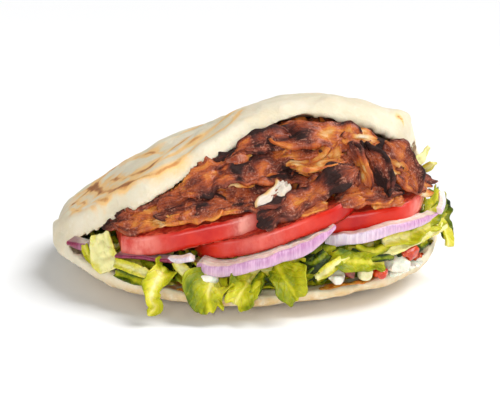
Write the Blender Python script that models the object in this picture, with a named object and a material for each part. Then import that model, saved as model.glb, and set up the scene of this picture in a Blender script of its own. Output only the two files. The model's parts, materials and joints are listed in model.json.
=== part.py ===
"""Doner kebab sandwich: a slit pita pocket with lettuce, red onion, tomato and shaved meat.

Metres, +Z up.  The mouth of the pocket faces -Y and +X, and the hinge of the bread runs round
the back and the left end.  The underside has a flat spot on z = 0, and the origin is under the
middle of the sandwich.  Sizes below are millimetres, which add_mesh turns into metres.
"""

import math

import bmesh
import bpy
import numpy as np
from mathutils import Vector, noise

MM = 0.001
GAP = 0.45  # clearance between pieces that touch
HEAP_ROOM = 0.7  # clearance that the two heaps leave round the pieces in them
SANDWICH_SHIFT = (0.0, 3.0, 0.0)  # puts the middle of the bounding box over the origin

# Bread
BREAD_MIDDLE_X = -3.0
BREAD_HALF_LENGTH = 85.0
BREAD_HALF_DEPTH = 73.0
FLAT_SHARE = 0.5  # of the plan radius, the part of the underside that lies flat
FRONT_RIM_HEIGHT = 7.5
LEFT_RIM_LIFT = 6.5
RIGHT_RIM_LIFT = 4.0
BACK_RIM_LIFT = 5.0
RIM_CURVE = 2.4  # how late the underside starts to rise
EDGE_THICKNESS = 8.0
LEFT_TIP_THINNING = 0.75  # share of the edge thickness lost at the left tip
FLOOR_THICKNESS = 9.0
CEILING_THICKNESS = 9.5
WALL_THICKNESS = 12.0
LEAST_POCKET = 1.2  # height of the slit where the bread closes
UNEVENNESS = 1.0
# The ridge where the toasted top turns into the pale side band, as x, y, z from left to right
CREST = (
    (-88, 0, 16), (-81, -20, 28.5), (-70, -33, 37), (-44, -45, 55.5), (-20, -42, 68),
    (-4, -34, 77), (18, -25, 82.5), (45, -23, 80), (58, -20, 75), (69, -10, 69),
    (74, 10, 46), (82, 0, 17),
)
# The lower edge of that band, which is the upper lip of the mouth
LIP = (
    (-88, 0, 13), (-80, -26, 16.5), (-60, -43, 31), (-44, -51, 42), (-14, -47, 60),
    (5, -41, 71), (20, -37, 76.5), (39, -36, 73.5), (54, -34, 68), (64, -25, 59),
    (71, -4, 44), (82, 0, 12),
)
MOUTH_LEFT = -78.5
MOUTH_CORNER_Y = 27.0  # the right corner of the mouth
MOUTH_TAPER = 30.0
MOUTH_OPENS = 55.0  # right of this the mouth closes towards its corner
POCKET_NARROWS = -58.0  # left of this the pocket's back comes forward
POCKET_NARROWING = 44.0
SLIT_REACH = 22.0  # how far the cutter stands out in front of the bread
LIP_TRIM = 1.0  # the slit trims this much off the band
FLAP_END = 70.0

# Tomato slices: middle, radius, slopes along x and y, thickness, flat cut side and its distance
TOMATOES = {
    "tomato_slice_left": ((-19, -16, 40.5), 47, (0.262, 0.14), 8.6, (190, 41.5)),
    "tomato_slice_middle": ((10, -32, 36.9), 36, (0.309, 0.06), 7.8, None),
    "tomato_slice_right": ((41.5, -23.5, 40.2), 31.5, (0.135, 0.10), 8.6, None),
}
TOMATO_SQUARENESS = 2.6  # 2 would be a round slice
TOMATO_BACK = 8.0  # the slices end here, and behind it the meat comes down to the lettuce
SKIN_BULGE = 1.6

# Onion pieces: places along the foot of the outer skin, height at both ends, width inwards
ONIONS = {
    "onion_arc_front": (((-23, -65, 17.5), (-13, -69.5, 18), (-5, -72, 20), (5, -73, 23),
                         (14, -72, 25.5), (22, -70, 28), (29, -67, 32.5), (35, -63.5, 38)),
                        (4.2, 6.2), 8.0),
    "onion_arc_right": (((30, -55.5, 25), (36, -58, 27), (44, -59.5, 29), (52, -59, 31.3),
                         (59, -56.5, 32.6), (66, -52, 32.5), (73, -45, 32.8),
                         (77.5, -37, 34.5)), (6.2, 3.4), 6.0),
    "onion_strip_left": (((-57, -54, 21), (-50, -58, 22), (-44, -60, 22.2), (-37, -63, 22.5),
                          (-31, -65, 22.7)), (1.6, 1.8), 6.0),
    "onion_tip_left": (((-79, -34, 20.2), (-75, -37, 19.8), (-70, -41, 19.4)), (2.4, 4.0), 6.0),
}

# Meat slices that stand clear of the heap: both ends, width, turn of the face, waviness
MEAT_SLICES = {
    "meat_slice_low_left": ((-56, -49, 35.5), (-13, -60, 45.5), 12, 40, 1.4),
    "meat_slice_long_left": ((-36, -56, 43.5), (9, -60, 50.5), 12, 45, 1.8),
    "meat_slice_upper_left": ((-29, -53, 51.5), (17, -46.5, 64), 15, 50, 2.0),
    "meat_slice_diagonal": ((4, -67, 40.5), (41, -54, 57.5), 10, 50, 1.4),
    "meat_slice_top": ((13, -46, 72), (45, -44.5, 74), 12, 35, 1.8),
    "meat_slice_golden": ((16, -52, 60), (38, -50, 63), 8, 20, 1.2),
    "meat_slice_right": ((46, -49, 67), (53, -53, 50), 13, 80, 1.8),
    "meat_slice_end": ((56, -42, 67), (66, -44, 48), 15, 80, 1.8),
    "meat_slice_lower_right": ((37, -57, 49), (57, -54, 50.5), 10, 60, 1.5),
}
MEAT_THICKNESS = 3.6

# The heap of meat over the tomato, and the bed of lettuce on the floor of the pocket
MEAT_MIDDLE_X = 8.0
MEAT_HALF_LENGTH = 62.0
MEAT_FRONT = -50.0
MEAT_BULGE = -55.0  # where the front of the heap comes down to the tomato
MEAT_UNDER = 43.2
MEAT_BELOW_CEILING = 3.5
MEAT_BELOW_LIP = 6.0
HEAP_WALL_ROOM = 4.0
BED_MIDDLE_X = 1.0
BED_HALF_LENGTH = 74.0
BED_FRONT_SHARE = 0.87  # of the bread's half width
BED_TOP = 22.0
BED_SLOPE = 0.16
BED_RISE = 10.0  # from the front edge to the back
HEAP_SLOPE = (0.12, 0.08)

# Leaves that hang out of the mouth: root, tip, width, thickness, ruffle, outward sag
LEAVES = {
    "lettuce_rib_left": ((-64, -43, 29.5), (-61, -53, 16), 12, 2.4, 0.4, 0.5),
    "lettuce_strip_left": ((-52, -56, 20), (-47, -62, 16), 12, 1.6, 0.8, 1.0),
    "lettuce_curl": ((-37, -63, 21), (-41, -76.5, 6), 9, 1.6, 1.4, 3.5),
    "lettuce_front_leaf": ((-8, -66, 18), (-11, -73, 8.5), 25, 1.6, 1.1, 0.8),
    "lettuce_centre_leaf": ((12, -66, 21), (17, -75.5, 11.5), 13, 1.6, 1.4, 3.0),
    "lettuce_dark_leaf": ((24, -61, 27), (26, -64.5, 21), 11, 1.8, 1.2, 1.5),
    "lettuce_right_leaf": ((45, -55, 25), (41, -63, 18), 22, 1.6, 1.8, 2.0),
    "lettuce_long_rib": ((81, -23, 25.5), (52, -58, 22.5), 5, 2.0, 0.4, 0.6),
    "lettuce_frill": ((80.8, -10.5, 37.5), (84.4, -17.5, 19), 13, 1.6, 1.6, 2.0),
}

# Small pieces that lie on the lower lip: middle, sizes, turn, finish
MORSELS = {
    "yoghurt_pool_left": ((-18, -66, 17), (9, 7, 4.5), 10, "yoghurt"),
    "yoghurt_pool_middle": ((34, -63, 16), (9, 7, 5), -10, "yoghurt"),
    "pickled_bit": ((39.5, -61.5, 17), (6, 5, 5), 30, "chilli"),
    "garnish_cube": ((46.5, -58.5, 16), (6.5, 6, 6), 20, "garnish"),
    "pepper_dice": ((53, -55.5, 15.5), (6, 5.5, 5), 40, "chilli"),
    "yoghurt_pool_right": ((60, -50, 17), (13, 8, 5), 35, "yoghurt"),
    "chilli_blob": ((65, -44, 20), (12, 8, 7.5), 40, "chilli"),
}


# ------------------------------------------------------------------ making meshes

def material(name, colour, roughness=0.5):
    """A plain Principled finish."""
    made = bpy.data.materials.new(name)
    made.use_nodes = True
    shader = made.node_tree.nodes["Principled BSDF"]
    shader.inputs["Base Color"].default_value = (*colour, 1)
    shader.inputs["Roughness"].default_value = roughness
    shader.inputs["Metallic"].default_value = 0
    return made


def add_mesh(name, points, faces, finish=None):
    """A mesh object from points in millimetres, with its faces turned outwards."""
    mesh = bpy.data.meshes.new(name)
    shifted = (np.asarray(points, float) + SANDWICH_SHIFT) * MM
    mesh.from_pydata(shifted.tolist(), [], faces)
    shaped = bmesh.new()
    shaped.from_mesh(mesh)
    bmesh.ops.recalc_face_normals(shaped, faces=shaped.faces)
    if shaped.calc_volume(signed=True) < 0:
        bmesh.ops.reverse_faces(shaped, faces=shaped.faces)
    shaped.to_mesh(mesh)
    shaped.free()
    mesh.shade_smooth()
    mesh.set_sharp_from_angle(angle=math.radians(45))
    thing = bpy.data.objects.new(name, mesh)
    bpy.context.scene.collection.objects.link(thing)
    if finish:
        mesh.materials.append(finish)
    return thing


def loft(name, rings, finish=None, tips=None):
    """A closed skin over rings of equal length; tips are the end points, or flat caps."""
    rings = np.asarray(rings, float)
    count, around = rings.shape[:2]
    faces = [
        (i * around + j, i * around + (j + 1) % around,
         (i + 1) * around + (j + 1) % around, (i + 1) * around + j)
        for i in range(count - 1)
        for j in range(around)
    ]
    points = rings.reshape(-1, 3)
    last = (count - 1) * around
    if tips is None:
        faces.append(tuple(range(around))[::-1])
        faces.append(tuple(range(last, last + around)))
        return add_mesh(name, points, faces, finish)
    first_tip = len(points)
    points = np.vstack([points, np.asarray(tips, float)])
    faces += [(first_tip, (j + 1) % around, j) for j in range(around)]
    faces += [(first_tip + 1, last + j, last + (j + 1) % around) for j in range(around)]
    return add_mesh(name, points, faces, finish)


def slab(name, surface, thickness, finish, steps=(16, 6)):
    """A closed sheet: surface(u, v) gives its middle, and thickness(u, v) its depth."""
    across = np.linspace(0, 1, steps[0] + 1)
    along = np.linspace(0, 1, steps[1] + 1)
    middle = np.array([[surface(u, v) for v in along] for u in across], float)
    normal = np.cross(np.gradient(middle, axis=0), np.gradient(middle, axis=1))
    normal /= np.linalg.norm(normal, axis=2, keepdims=True) + 1e-9
    half = np.array([[thickness(u, v) / 2 for v in along] for u in across])[..., None]
    rows, columns = middle.shape[:2]
    points = np.vstack([(middle + normal * half).reshape(-1, 3),
                        (middle - normal * half).reshape(-1, 3)])
    under = rows * columns
    faces = []
    for i in range(rows - 1):
        for j in range(columns - 1):
            corner = i * columns + j
            quad = (corner, corner + 1, corner + columns + 1, corner + columns)
            faces += [quad, tuple(k + under for k in reversed(quad))]
    edge = [i * columns for i in range(rows)]
    edge += [(rows - 1) * columns + j for j in range(1, columns)]
    edge += [i * columns + columns - 1 for i in range(rows - 2, -1, -1)]
    edge += list(range(columns - 2, 0, -1))
    for a, b in zip(edge, edge[1:] + edge[:1]):
        faces.append((a, b, b + under, a + under))
    return add_mesh(name, points, faces, finish)


def swollen(thing, by):
    """A hidden copy that stands out by this many millimetres, for cutting room round a piece."""
    helper = thing.copy()
    helper.data = thing.data.copy()
    helper.name = thing.name + "_room"
    bpy.context.scene.collection.objects.link(helper)
    shaped = bmesh.new()
    shaped.from_mesh(helper.data)
    shaped.normal_update()
    normals = [vert.normal.copy() for vert in shaped.verts]
    for vert, normal in zip(shaped.verts, normals):
        vert.co += normal * by * MM * max(1.0, vert.calc_shell_factor())
    shaped.to_mesh(helper.data)
    shaped.free()
    hide_helper(helper)
    return helper


def hide_helper(helper):
    helper.hide_render = True
    helper.hide_viewport = True
    helper.display_type = "WIRE"


def carve(thing, helpers):
    """Cuts the helpers out of a piece and keeps its largest part."""
    for helper in helpers:
        cut = thing.modifiers.new("room for " + helper.name, "BOOLEAN")
        cut.operation = "DIFFERENCE"
        cut.solver = "MANIFOLD"  # EXACT drops thin pieces that several neighbours cut
        cut.object = helper
    bpy.context.view_layer.update()
    graph = bpy.context.evaluated_depsgraph_get()
    carved = bpy.data.meshes.new_from_object(thing.evaluated_get(graph), depsgraph=graph)
    thing.modifiers.clear()
    thing.data = carved
    shaped = bmesh.new()
    shaped.from_mesh(carved)
    keep_largest(shaped)
    bmesh.ops.triangulate(shaped, faces=shaped.faces)
    shaped.to_mesh(carved)
    shaped.free()


def keep_largest(shaped):
    """Deletes every separate part of a mesh but the one with the largest box."""
    left = set(shaped.verts)
    parts = []
    while left:
        part = {left.pop()}
        edge = list(part)
        while edge:
            here = edge.pop()
            found = {link.other_vert(here) for link in here.link_edges} & left
            left -= found
            part |= found
            edge += found
        parts.append(part)
    parts.sort(key=box_volume)
    for part in parts[:-1]:
        bmesh.ops.delete(shaped, geom=list(part), context="VERTS")


def box_volume(verts):
    points = np.array([vert.co for vert in verts])
    return float(np.prod(points.max(axis=0) - points.min(axis=0)))


def smooth_step(value):
    value = np.clip(value, 0, 1)
    return value * value * (3 - 2 * value)


def bumps(point, size, seed=0.0):
    """Smooth noise between about -1 and 1 whose lumps are this size, in millimetres."""
    return noise.noise(Vector(point) / size + Vector((seed, 2.3 * seed, 5.1)))


# ------------------------------------------------------------------ bread

def section_angle(x):
    """0 at the left tip of the bread and pi at its right tip."""
    return np.arccos(np.clip((BREAD_MIDDLE_X - x) / BREAD_HALF_LENGTH, -1, 1))


def along(stations, column, x):
    """A smooth curve through one column of the stations, read at x."""
    table = np.array(stations, float)
    at = section_angle(table[:, 0])
    values = table[:, column]
    slopes = np.gradient(values, at)
    here = float(section_angle(x))
    i = int(np.clip(np.searchsorted(at, here) - 1, 0, len(at) - 2))
    span = at[i + 1] - at[i]
    u = (here - at[i]) / span
    return (
        values[i] * (1 + 2 * u) * (1 - u) ** 2 + values[i + 1] * u * u * (3 - 2 * u)
        + span * (slopes[i] * u * (1 - u) ** 2 - slopes[i + 1] * u * u * (1 - u))
    )


def half_width(x):
    return BREAD_HALF_DEPTH * math.sin(float(section_angle(x)))


def reach(x, y):
    """Distance from the middle of the bread, 1 on its outline."""
    return math.hypot((x - BREAD_MIDDLE_X) / BREAD_HALF_LENGTH, y / BREAD_HALF_DEPTH)


def underside(x, y, most=1.0):
    rise = max(0.0, (min(reach(x, y), most) - FLAT_SHARE) / (1 - FLAT_SHARE))
    across = (x - BREAD_MIDDLE_X) / BREAD_HALF_LENGTH
    rim = FRONT_RIM_HEIGHT + BACK_RIM_LIFT * smooth_step(0.5 + y / BREAD_HALF_DEPTH)
    rim += (LEFT_RIM_LIFT if x < BREAD_MIDDLE_X else RIGHT_RIM_LIFT) * across ** 2
    return rim * rise ** RIM_CURVE


def edge_thickness(x):
    """The bread thins towards its left tip."""
    left = max(0, (BREAD_MIDDLE_X - x) / BREAD_HALF_LENGTH)
    return EDGE_THICKNESS * (1 - LEFT_TIP_THINNING * left ** 3)


def top(x, y):
    """Height of the toasted top behind the crest."""
    crest_y = along(CREST, 1, x)
    crest_z = along(CREST, 2, x)
    width = half_width(x)
    edge_z = underside(x, width) + edge_thickness(x)
    back = np.clip((y - crest_y) / max(width - crest_y, 1e-3), 0, 1)
    domed = smooth_step((x + 45) / 60)  # flatter over the left end, rounder to the right
    power = 2.2 - 0.5 * domed
    root = 0.45 + 0.27 * domed
    return edge_z + max(crest_z - edge_z, 0) * (1 - back ** power) ** root


def pillow_ring(x):
    """Outline of the bread across x, as if the mouth were filled."""
    width = half_width(x)
    lip_y, lip_z = along(LIP, 1, x), along(LIP, 2, x)
    crest_y, crest_z = along(CREST, 1, x), along(CREST, 2, x)
    lip_y, crest_y = max(lip_y, -0.97 * width), max(crest_y, -0.9 * width)
    ring = [(y, underside(x, y)) for y in -width * np.cos(np.linspace(0, math.pi, 9))]
    for turn in np.linspace(0, 1, 9)[:-1]:
        y = width + (crest_y - width) * (1 - math.cos(turn * math.pi / 2) * (1 - 0.35 * turn))
        ring.append((y, top(x, y)))
    for turn in np.linspace(0, math.pi / 2, 5):
        ring.append((crest_y + (lip_y - crest_y) * math.sin(turn),
                     lip_z + (crest_z - lip_z) * math.cos(turn) ** 0.9))
    front_z = underside(x, -width)
    ring.append((lip_y - 0.4, max(lip_z - 4.0, front_z + EDGE_THICKNESS)))
    ring.append((-width * 0.965, front_z + EDGE_THICKNESS * 0.75))
    ring.append((-width * 0.995, front_z + EDGE_THICKNESS * 0.35))
    middle = np.mean(ring, axis=0)
    uneven = []
    for y, z in ring:
        grow = UNEVENNESS * bumps((x, y, z), 26) + 0.4 * UNEVENNESS * bumps((x, y, z), 9, 3)
        grow *= smooth_step(z / 12)
        out = np.array((y, z)) - middle
        out /= max(np.linalg.norm(out), 1e-6)
        uneven.append((x, y + out[0] * grow, max(z + out[1] * grow, 0)))
    return uneven


def floor_top(x, y):
    thinning = 1 - 0.28 * min(reach(x, y), 1) ** 4
    return underside(x, y, most=0.965) + FLOOR_THICKNESS * thinning


def ceiling(x, y):
    """The inner face of the upper bread; outside the lip it runs on level."""
    inside_x = min(x, FLAP_END)
    lip_y, lip_z = along(LIP, 1, inside_x), along(LIP, 2, inside_x) + LIP_TRIM
    crest_y = along(CREST, 1, inside_x)
    inner = top(inside_x, max(y, crest_y)) - CEILING_THICKNESS
    height = lip_z + (inner - lip_z) * smooth_step((y - lip_y) / (crest_y - lip_y + 4))
    low = floor_top(x, y)
    if x > MOUTH_OPENS:
        open_share = smooth_step((MOUTH_CORNER_Y + 4 - y) / MOUTH_TAPER)
        fade = smooth_step((x - MOUTH_OPENS) / 20)
        height = low + (height - low) * (1 - fade * (1 - open_share))
    return max(height, low + LEAST_POCKET)


def pocket_back(x):
    """How far back the pocket reaches across x."""
    back = half_width(x) - WALL_THICKNESS
    if x < POCKET_NARROWS:
        narrowed = (POCKET_NARROWS - x) / (POCKET_NARROWS - MOUTH_LEFT)
        return back - POCKET_NARROWING * narrowed ** 2
    if x > MOUTH_OPENS - 5:
        return max(back, MOUTH_CORNER_Y)
    return back


def pocket_ring(x):
    back = pocket_back(x)
    lip_y = min(along(LIP, 1, min(x, FLAP_END)), back - 14)
    front = -BREAD_HALF_DEPTH - SLIT_REACH
    depths = [back - 1.5] + list(np.linspace(back - 6, lip_y + 3, 7)) + [lip_y - 3, front]
    ring = [(x, y, ceiling(x, y)) for y in depths]
    ring += [(x, y, floor_top(x, y)) for y in reversed(depths)]
    back_z = (ceiling(x, back) + floor_top(x, back)) / 2
    return ring + [(x, back, back_z)]


def bread():
    crust = material("bread", (0.80, 0.66, 0.42), 0.75)
    angles = np.linspace(0, math.pi, 33)[1:-1]
    sections = [BREAD_MIDDLE_X - BREAD_HALF_LENGTH * math.cos(a) for a in angles]
    tips = [(BREAD_MIDDLE_X - BREAD_HALF_LENGTH, 0, 13.5),
            (BREAD_MIDDLE_X + BREAD_HALF_LENGTH, 0, 14)]
    shell = loft("pita_bread", [pillow_ring(x) for x in sections], crust, tips)
    stations = np.concatenate(
        [[MOUTH_LEFT, -76.5, -74], np.linspace(-70, 50, 13), np.linspace(55, 78, 6), [84, 96]]
    )
    pocket = loft("pocket_cutter", [pocket_ring(x) for x in stations])
    hide_helper(pocket)
    carve(shell, [pocket])
    return shell


# ------------------------------------------------------------------ fillings

def tilted(middle, slopes, x, y):
    """Height of a sloping plane through the middle of a slice."""
    return middle[2] + slopes[0] * (x - middle[0]) + slopes[1] * (y - middle[1])


def tomato_slice(name, middle, radius, slopes, thickness, flat_side, finish):
    """A thick, squarish slice, shallower behind, its skin bulging between two cut faces."""
    rows = ((-1.0, 0.0), (-0.62, 0.75), (0.0, 1.0), (0.62, 0.75), (1.0, 0.0))
    back_share = min(1.0, (TOMATO_BACK - middle[1]) / radius)
    rings = []
    for level, bulge in rows:
        ring = []
        for turn in np.linspace(0, 2 * math.pi, 33)[:-1]:
            out = (radius - SKIN_BULGE * (1 - bulge)) / (
                abs(math.cos(turn)) ** TOMATO_SQUARENESS
                + abs(math.sin(turn)) ** TOMATO_SQUARENESS) ** (1 / TOMATO_SQUARENESS)
            if flat_side:
                facing = math.cos(turn - math.radians(flat_side[0]))
                if facing > 0:
                    out = min(out, flat_side[1] / max(facing, 1e-3))
            x = middle[0] + out * math.cos(turn)
            y = out * math.sin(turn)
            y = middle[1] + (y * back_share if y > 0 else y)
            z = tilted(middle, slopes, x, y) + level * thickness / 2
            ring.append((x, y, z))
        rings.append(ring)
    return loft(name, rings, finish)


def onion_arc(name, foot, heights, width, finish):
    """Part of a ring of stacked onion layers, its purple outer skin standing on this foot."""
    foot = np.array(foot, float)
    run = np.gradient(foot, axis=0)
    inward = np.stack([-run[:, 1], run[:, 0], 0 * run[:, 0]], axis=1)
    inward /= np.linalg.norm(inward, axis=1, keepdims=True)

    def height(u):
        return heights[0] + (heights[1] - heights[0]) * u

    def face(u, v):
        stop = u * (len(foot) - 1)
        place = [np.interp(stop, range(len(foot)), column) for column in foot.T]
        across = [np.interp(stop, range(len(foot)), column) for column in inward.T]
        x, y, z = (place[i] + across[i] * width * (1 - v) for i in range(3))
        return x, y, z + height(u) / 2

    def depth(u, v):
        ends = min(1.0, 0.5 + 5 * min(u, 1 - u))
        return height(u) * ends * (0.8 + 0.2 * v)

    return slab(name, face, depth, finish, steps=(12, 2))


def ribbon(name, start, end, width, turn, wave, thickness, finish, seed):
    """A wavy strip from start to end, its face turned by this angle about its own length."""
    start, end = Vector(start), Vector(end)
    run = (end - start).normalized()
    flat = Vector((0, 0, 1)).cross(run).normalized()
    up = run.cross(flat)
    tilt = math.radians(turn)
    side = flat * math.cos(tilt) + up * math.sin(tilt)
    out = run.cross(side)

    def face(u, v):
        taper = 0.55 + 0.45 * math.sin(math.pi * min(1, max(0, 0.12 + 0.8 * u)))
        edge = (v - 0.5) * width * taper * (1 + 0.2 * bumps((seed, 8 * u, 0), 1.7))
        place = start.lerp(end, u) + side * edge
        lift = wave * bumps((seed * 3, 14 * u, 4 * v), 3.1) - 0.06 * edge * edge / max(width, 1) * 2
        return place + out * lift

    def depth(u, v):
        rim = min(1.0, 0.4 + 4 * min(u, 1 - u)) * (0.55 + 0.45 * math.sin(math.pi * v))
        return thickness * rim

    return slab(name, face, depth, finish, steps=(8, 2))


def heap(name, outline, low, high, finish, rows, around):
    """A closed heap over a plan outline between two height functions."""
    middle = np.mean([outline(a) for a in np.linspace(0, 2 * math.pi, 33)[:-1]], axis=0)
    turns = np.linspace(0, 2 * math.pi, around + 1)[:-1]
    edge = np.array([outline(a) for a in turns])
    under = [[(*(middle + (edge[j] - middle) * s), 0) for j in range(around)]
             for s in np.linspace(0, 1, rows)[1:]]
    rings = [[(x, y, low(x, y)) for x, y, _ in ring] for ring in under]
    rings += [[(x, y, max(high(x, y), low(x, y) + 1.0)) for x, y, _ in ring]
              for ring in reversed(under)]
    x, y = middle
    return loft(name, rings, finish, [(x, y, low(x, y)), (x, y, high(x, y))])


def meat_outline(turn):
    x = MEAT_MIDDLE_X + MEAT_HALF_LENGTH * math.cos(turn)
    if math.sin(turn) < 0:
        return x, MEAT_FRONT * abs(math.sin(turn)) ** 0.75
    return x, (pocket_back(x) - HEAP_WALL_ROOM) * math.sin(turn) ** 0.6


def meat_low(x, y):
    """Over the tomato at the front, and down on the lettuce behind it."""
    over_tomato = MEAT_UNDER + HEAP_SLOPE[0] * x + HEAP_SLOPE[1] * (y + 30)
    behind = smooth_step((y - TOMATO_BACK) / 14)
    return over_tomato + (bed_top(x, y) + 3.0 - over_tomato) * behind


def meat_high(x, y):
    """Just under the upper bread, and bulging out of the mouth in front of its lip."""
    lip_y, lip_z = along(LIP, 1, min(x, FLAP_END)), along(LIP, 2, min(x, FLAP_END))
    lumps = 1.6 * bumps((x, y, 0), 9, 2) + 1.0 * bumps((x, y, 0), 5, 4)
    if y > lip_y:
        return ceiling(x, y) - MEAT_BELOW_CEILING + 0.6 * lumps
    low = meat_low(x, y)
    out = min(1.0, (lip_y - y) / max(lip_y - MEAT_BULGE, 4.0))
    return low + max(0, lip_z - MEAT_BELOW_LIP - low) * math.sqrt(1 - out * out) + lumps


def bed_outline(turn):
    x = BED_MIDDLE_X + BED_HALF_LENGTH * math.cos(turn)
    if math.sin(turn) < 0:
        return x, -BED_FRONT_SHARE * half_width(x) * abs(math.sin(turn)) ** 0.3
    return x, (pocket_back(x) - HEAP_WALL_ROOM + 1) * math.sin(turn) ** 0.6


def bed_low(x, y):
    return floor_top(x, y) + 3 * GAP


def bed_top(x, y):
    return BED_TOP + BED_SLOPE * x + BED_RISE * smooth_step((y + 60) / 40)


def bed_high(x, y):
    return min(bed_top(x, y), ceiling(x, y) - HEAP_WALL_ROOM) + 1.2 * bumps((x, y, 0), 8, 6)


def leaf(name, root, tip, width, thickness, ruffle, sag, finish, seed):
    """A torn leaf from its root to its tip, ruffled more towards its tip."""
    root, tip = Vector(root), Vector(tip)
    run = (tip - root).normalized()
    side = run.cross(Vector((0, 0.4, 1))).normalized()
    out = side.cross(run)

    def face(u, v):
        spread = width * (0.55 + 0.45 * math.sin(math.pi * (0.15 + 0.7 * v)))
        place = root.lerp(tip, v) + side * (u - 0.5) * spread
        wave = ruffle * (0.3 + 0.7 * v) * math.sin(9 * u + seed)
        wave += ruffle * bumps((5 * u, 3 * v, seed), 1.3)
        return place + out * (wave + sag * math.sin(math.pi * v))

    return slab(name, face, lambda u, v: thickness, finish, steps=(6, 4))


def morsel(name, middle, sizes, turn, finish, seed):
    """A small rounded lump with uneven sides."""
    shaped = bmesh.new()
    bmesh.ops.create_uvsphere(shaped, u_segments=8, v_segments=5, radius=1)
    points = []
    turned = math.radians(turn)
    for vert in shaped.verts:
        blunt = Vector([math.copysign(abs(c) ** 0.7, c) for c in vert.co])
        blunt *= 1 + 0.15 * bumps(vert.co, 0.9, seed)
        x, y, z = (blunt[i] * sizes[i] / 2 for i in range(3))
        points.append((middle[0] + x * math.cos(turned) - y * math.sin(turned),
                       middle[1] + x * math.sin(turned) + y * math.cos(turned),
                       middle[2] + z))
    faces = [tuple(vert.index for vert in face.verts) for face in shaped.faces]
    shaped.free()
    return add_mesh(name, points, faces, finish)


def fillings(shell):
    """Every piece in the pocket, each cut clear of those placed before it."""
    finishes = {
        "lettuce": material("lettuce", (0.45, 0.62, 0.10), 0.45),
        "tomato": material("tomato", (0.75, 0.06, 0.03), 0.2),
        "onion": material("onion", (0.80, 0.60, 0.72), 0.3),
        "meat": material("meat", (0.30, 0.10, 0.03), 0.4),
        "yoghurt": material("yoghurt", (0.90, 0.88, 0.80), 0.3),
        "chilli": material("chilli", (0.60, 0.06, 0.01), 0.3),
        "garnish": material("garnish", (0.86, 0.80, 0.50), 0.35),
    }
    placed = [shell]

    def settle(thing, room=GAP):
        carve(thing, [swollen(other, room) for other in placed if near(thing, other)])
        placed.append(thing)

    for name, slice_of in TOMATOES.items():
        settle(tomato_slice(name, *slice_of, finishes["tomato"]))
    for name, (foot, heights, width) in ONIONS.items():
        settle(onion_arc(name, foot, heights, width, finishes["onion"]))
    for seed, (name, (start, end, width, turn, wave)) in enumerate(MEAT_SLICES.items()):
        settle(ribbon(name, start, end, width, turn, wave, MEAT_THICKNESS,
                      finishes["meat"], seed + 1))
    for seed, (name, (middle, sizes, turn, finish)) in enumerate(MORSELS.items()):
        settle(morsel(name, middle, sizes, turn, finishes[finish], seed))
    for seed, (name, (root, tip, width, thickness, ruffle, sag)) in enumerate(LEAVES.items()):
        settle(leaf(name, root, tip, width, thickness, ruffle, sag, finishes["lettuce"], seed))
    settle(heap("lettuce_bed", bed_outline, bed_low, bed_high, finishes["lettuce"],
                4, 18), HEAP_ROOM)
    settle(heap("meat_heap", meat_outline, meat_low, meat_high, finishes["meat"], 6, 24),
           HEAP_ROOM)


def near(one, other):
    """Whether the boxes of two pieces come within the clearance."""
    boxes = []
    for thing in (one, other):
        points = np.array([vert.co for vert in thing.data.vertices])
        boxes.append((points.min(axis=0) - GAP * MM, points.max(axis=0) + GAP * MM))
    return bool((boxes[0][0] < boxes[1][1]).all() and (boxes[1][0] < boxes[0][1]).all())


def main():
    for thing in list(bpy.data.objects):
        bpy.data.objects.remove(thing)
    fillings(bread())


main()
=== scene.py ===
"""The looks of a doner kebab sandwich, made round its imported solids.

The makers work in millimetres in the bread's own frame, as the solids do: +Z up, the mouth of
the pocket towards -Y and +X. Pile.build shifts their points to the sandwich's frame, in metres.
"""

import json
import math

import bpy
import numpy as np
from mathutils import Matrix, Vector
from mathutils.bvhtree import BVHTree

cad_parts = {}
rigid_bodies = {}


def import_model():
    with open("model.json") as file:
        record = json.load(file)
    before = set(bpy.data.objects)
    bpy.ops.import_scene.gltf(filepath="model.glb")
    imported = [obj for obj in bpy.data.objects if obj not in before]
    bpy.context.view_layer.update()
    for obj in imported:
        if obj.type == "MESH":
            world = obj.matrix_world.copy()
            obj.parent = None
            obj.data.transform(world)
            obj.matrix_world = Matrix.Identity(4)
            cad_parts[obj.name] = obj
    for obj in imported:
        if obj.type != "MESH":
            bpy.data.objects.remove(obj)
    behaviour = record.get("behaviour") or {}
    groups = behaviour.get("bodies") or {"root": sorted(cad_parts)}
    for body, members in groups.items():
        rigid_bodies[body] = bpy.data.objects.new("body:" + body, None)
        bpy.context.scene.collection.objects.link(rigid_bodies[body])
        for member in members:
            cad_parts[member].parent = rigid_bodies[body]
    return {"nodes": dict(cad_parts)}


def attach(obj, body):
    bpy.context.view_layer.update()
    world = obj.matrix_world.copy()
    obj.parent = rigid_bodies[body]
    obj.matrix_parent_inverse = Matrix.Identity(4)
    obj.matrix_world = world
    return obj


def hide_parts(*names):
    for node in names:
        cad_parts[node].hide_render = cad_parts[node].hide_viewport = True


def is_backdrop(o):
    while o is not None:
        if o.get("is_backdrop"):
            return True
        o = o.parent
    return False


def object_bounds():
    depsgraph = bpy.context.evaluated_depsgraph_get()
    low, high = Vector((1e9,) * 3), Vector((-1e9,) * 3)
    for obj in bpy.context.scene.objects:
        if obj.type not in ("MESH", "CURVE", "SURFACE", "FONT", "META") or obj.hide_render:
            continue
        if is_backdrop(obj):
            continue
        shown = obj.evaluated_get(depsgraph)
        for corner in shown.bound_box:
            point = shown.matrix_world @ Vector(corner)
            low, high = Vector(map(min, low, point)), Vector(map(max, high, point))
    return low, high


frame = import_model()
cad_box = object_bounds()

MM = 0.001
SHIFT = np.array((0.0, 3.0, 0.0))  # from the bread's frame to the sandwich's


# ------------------------------------------------------------------ numbers with a pattern

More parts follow.
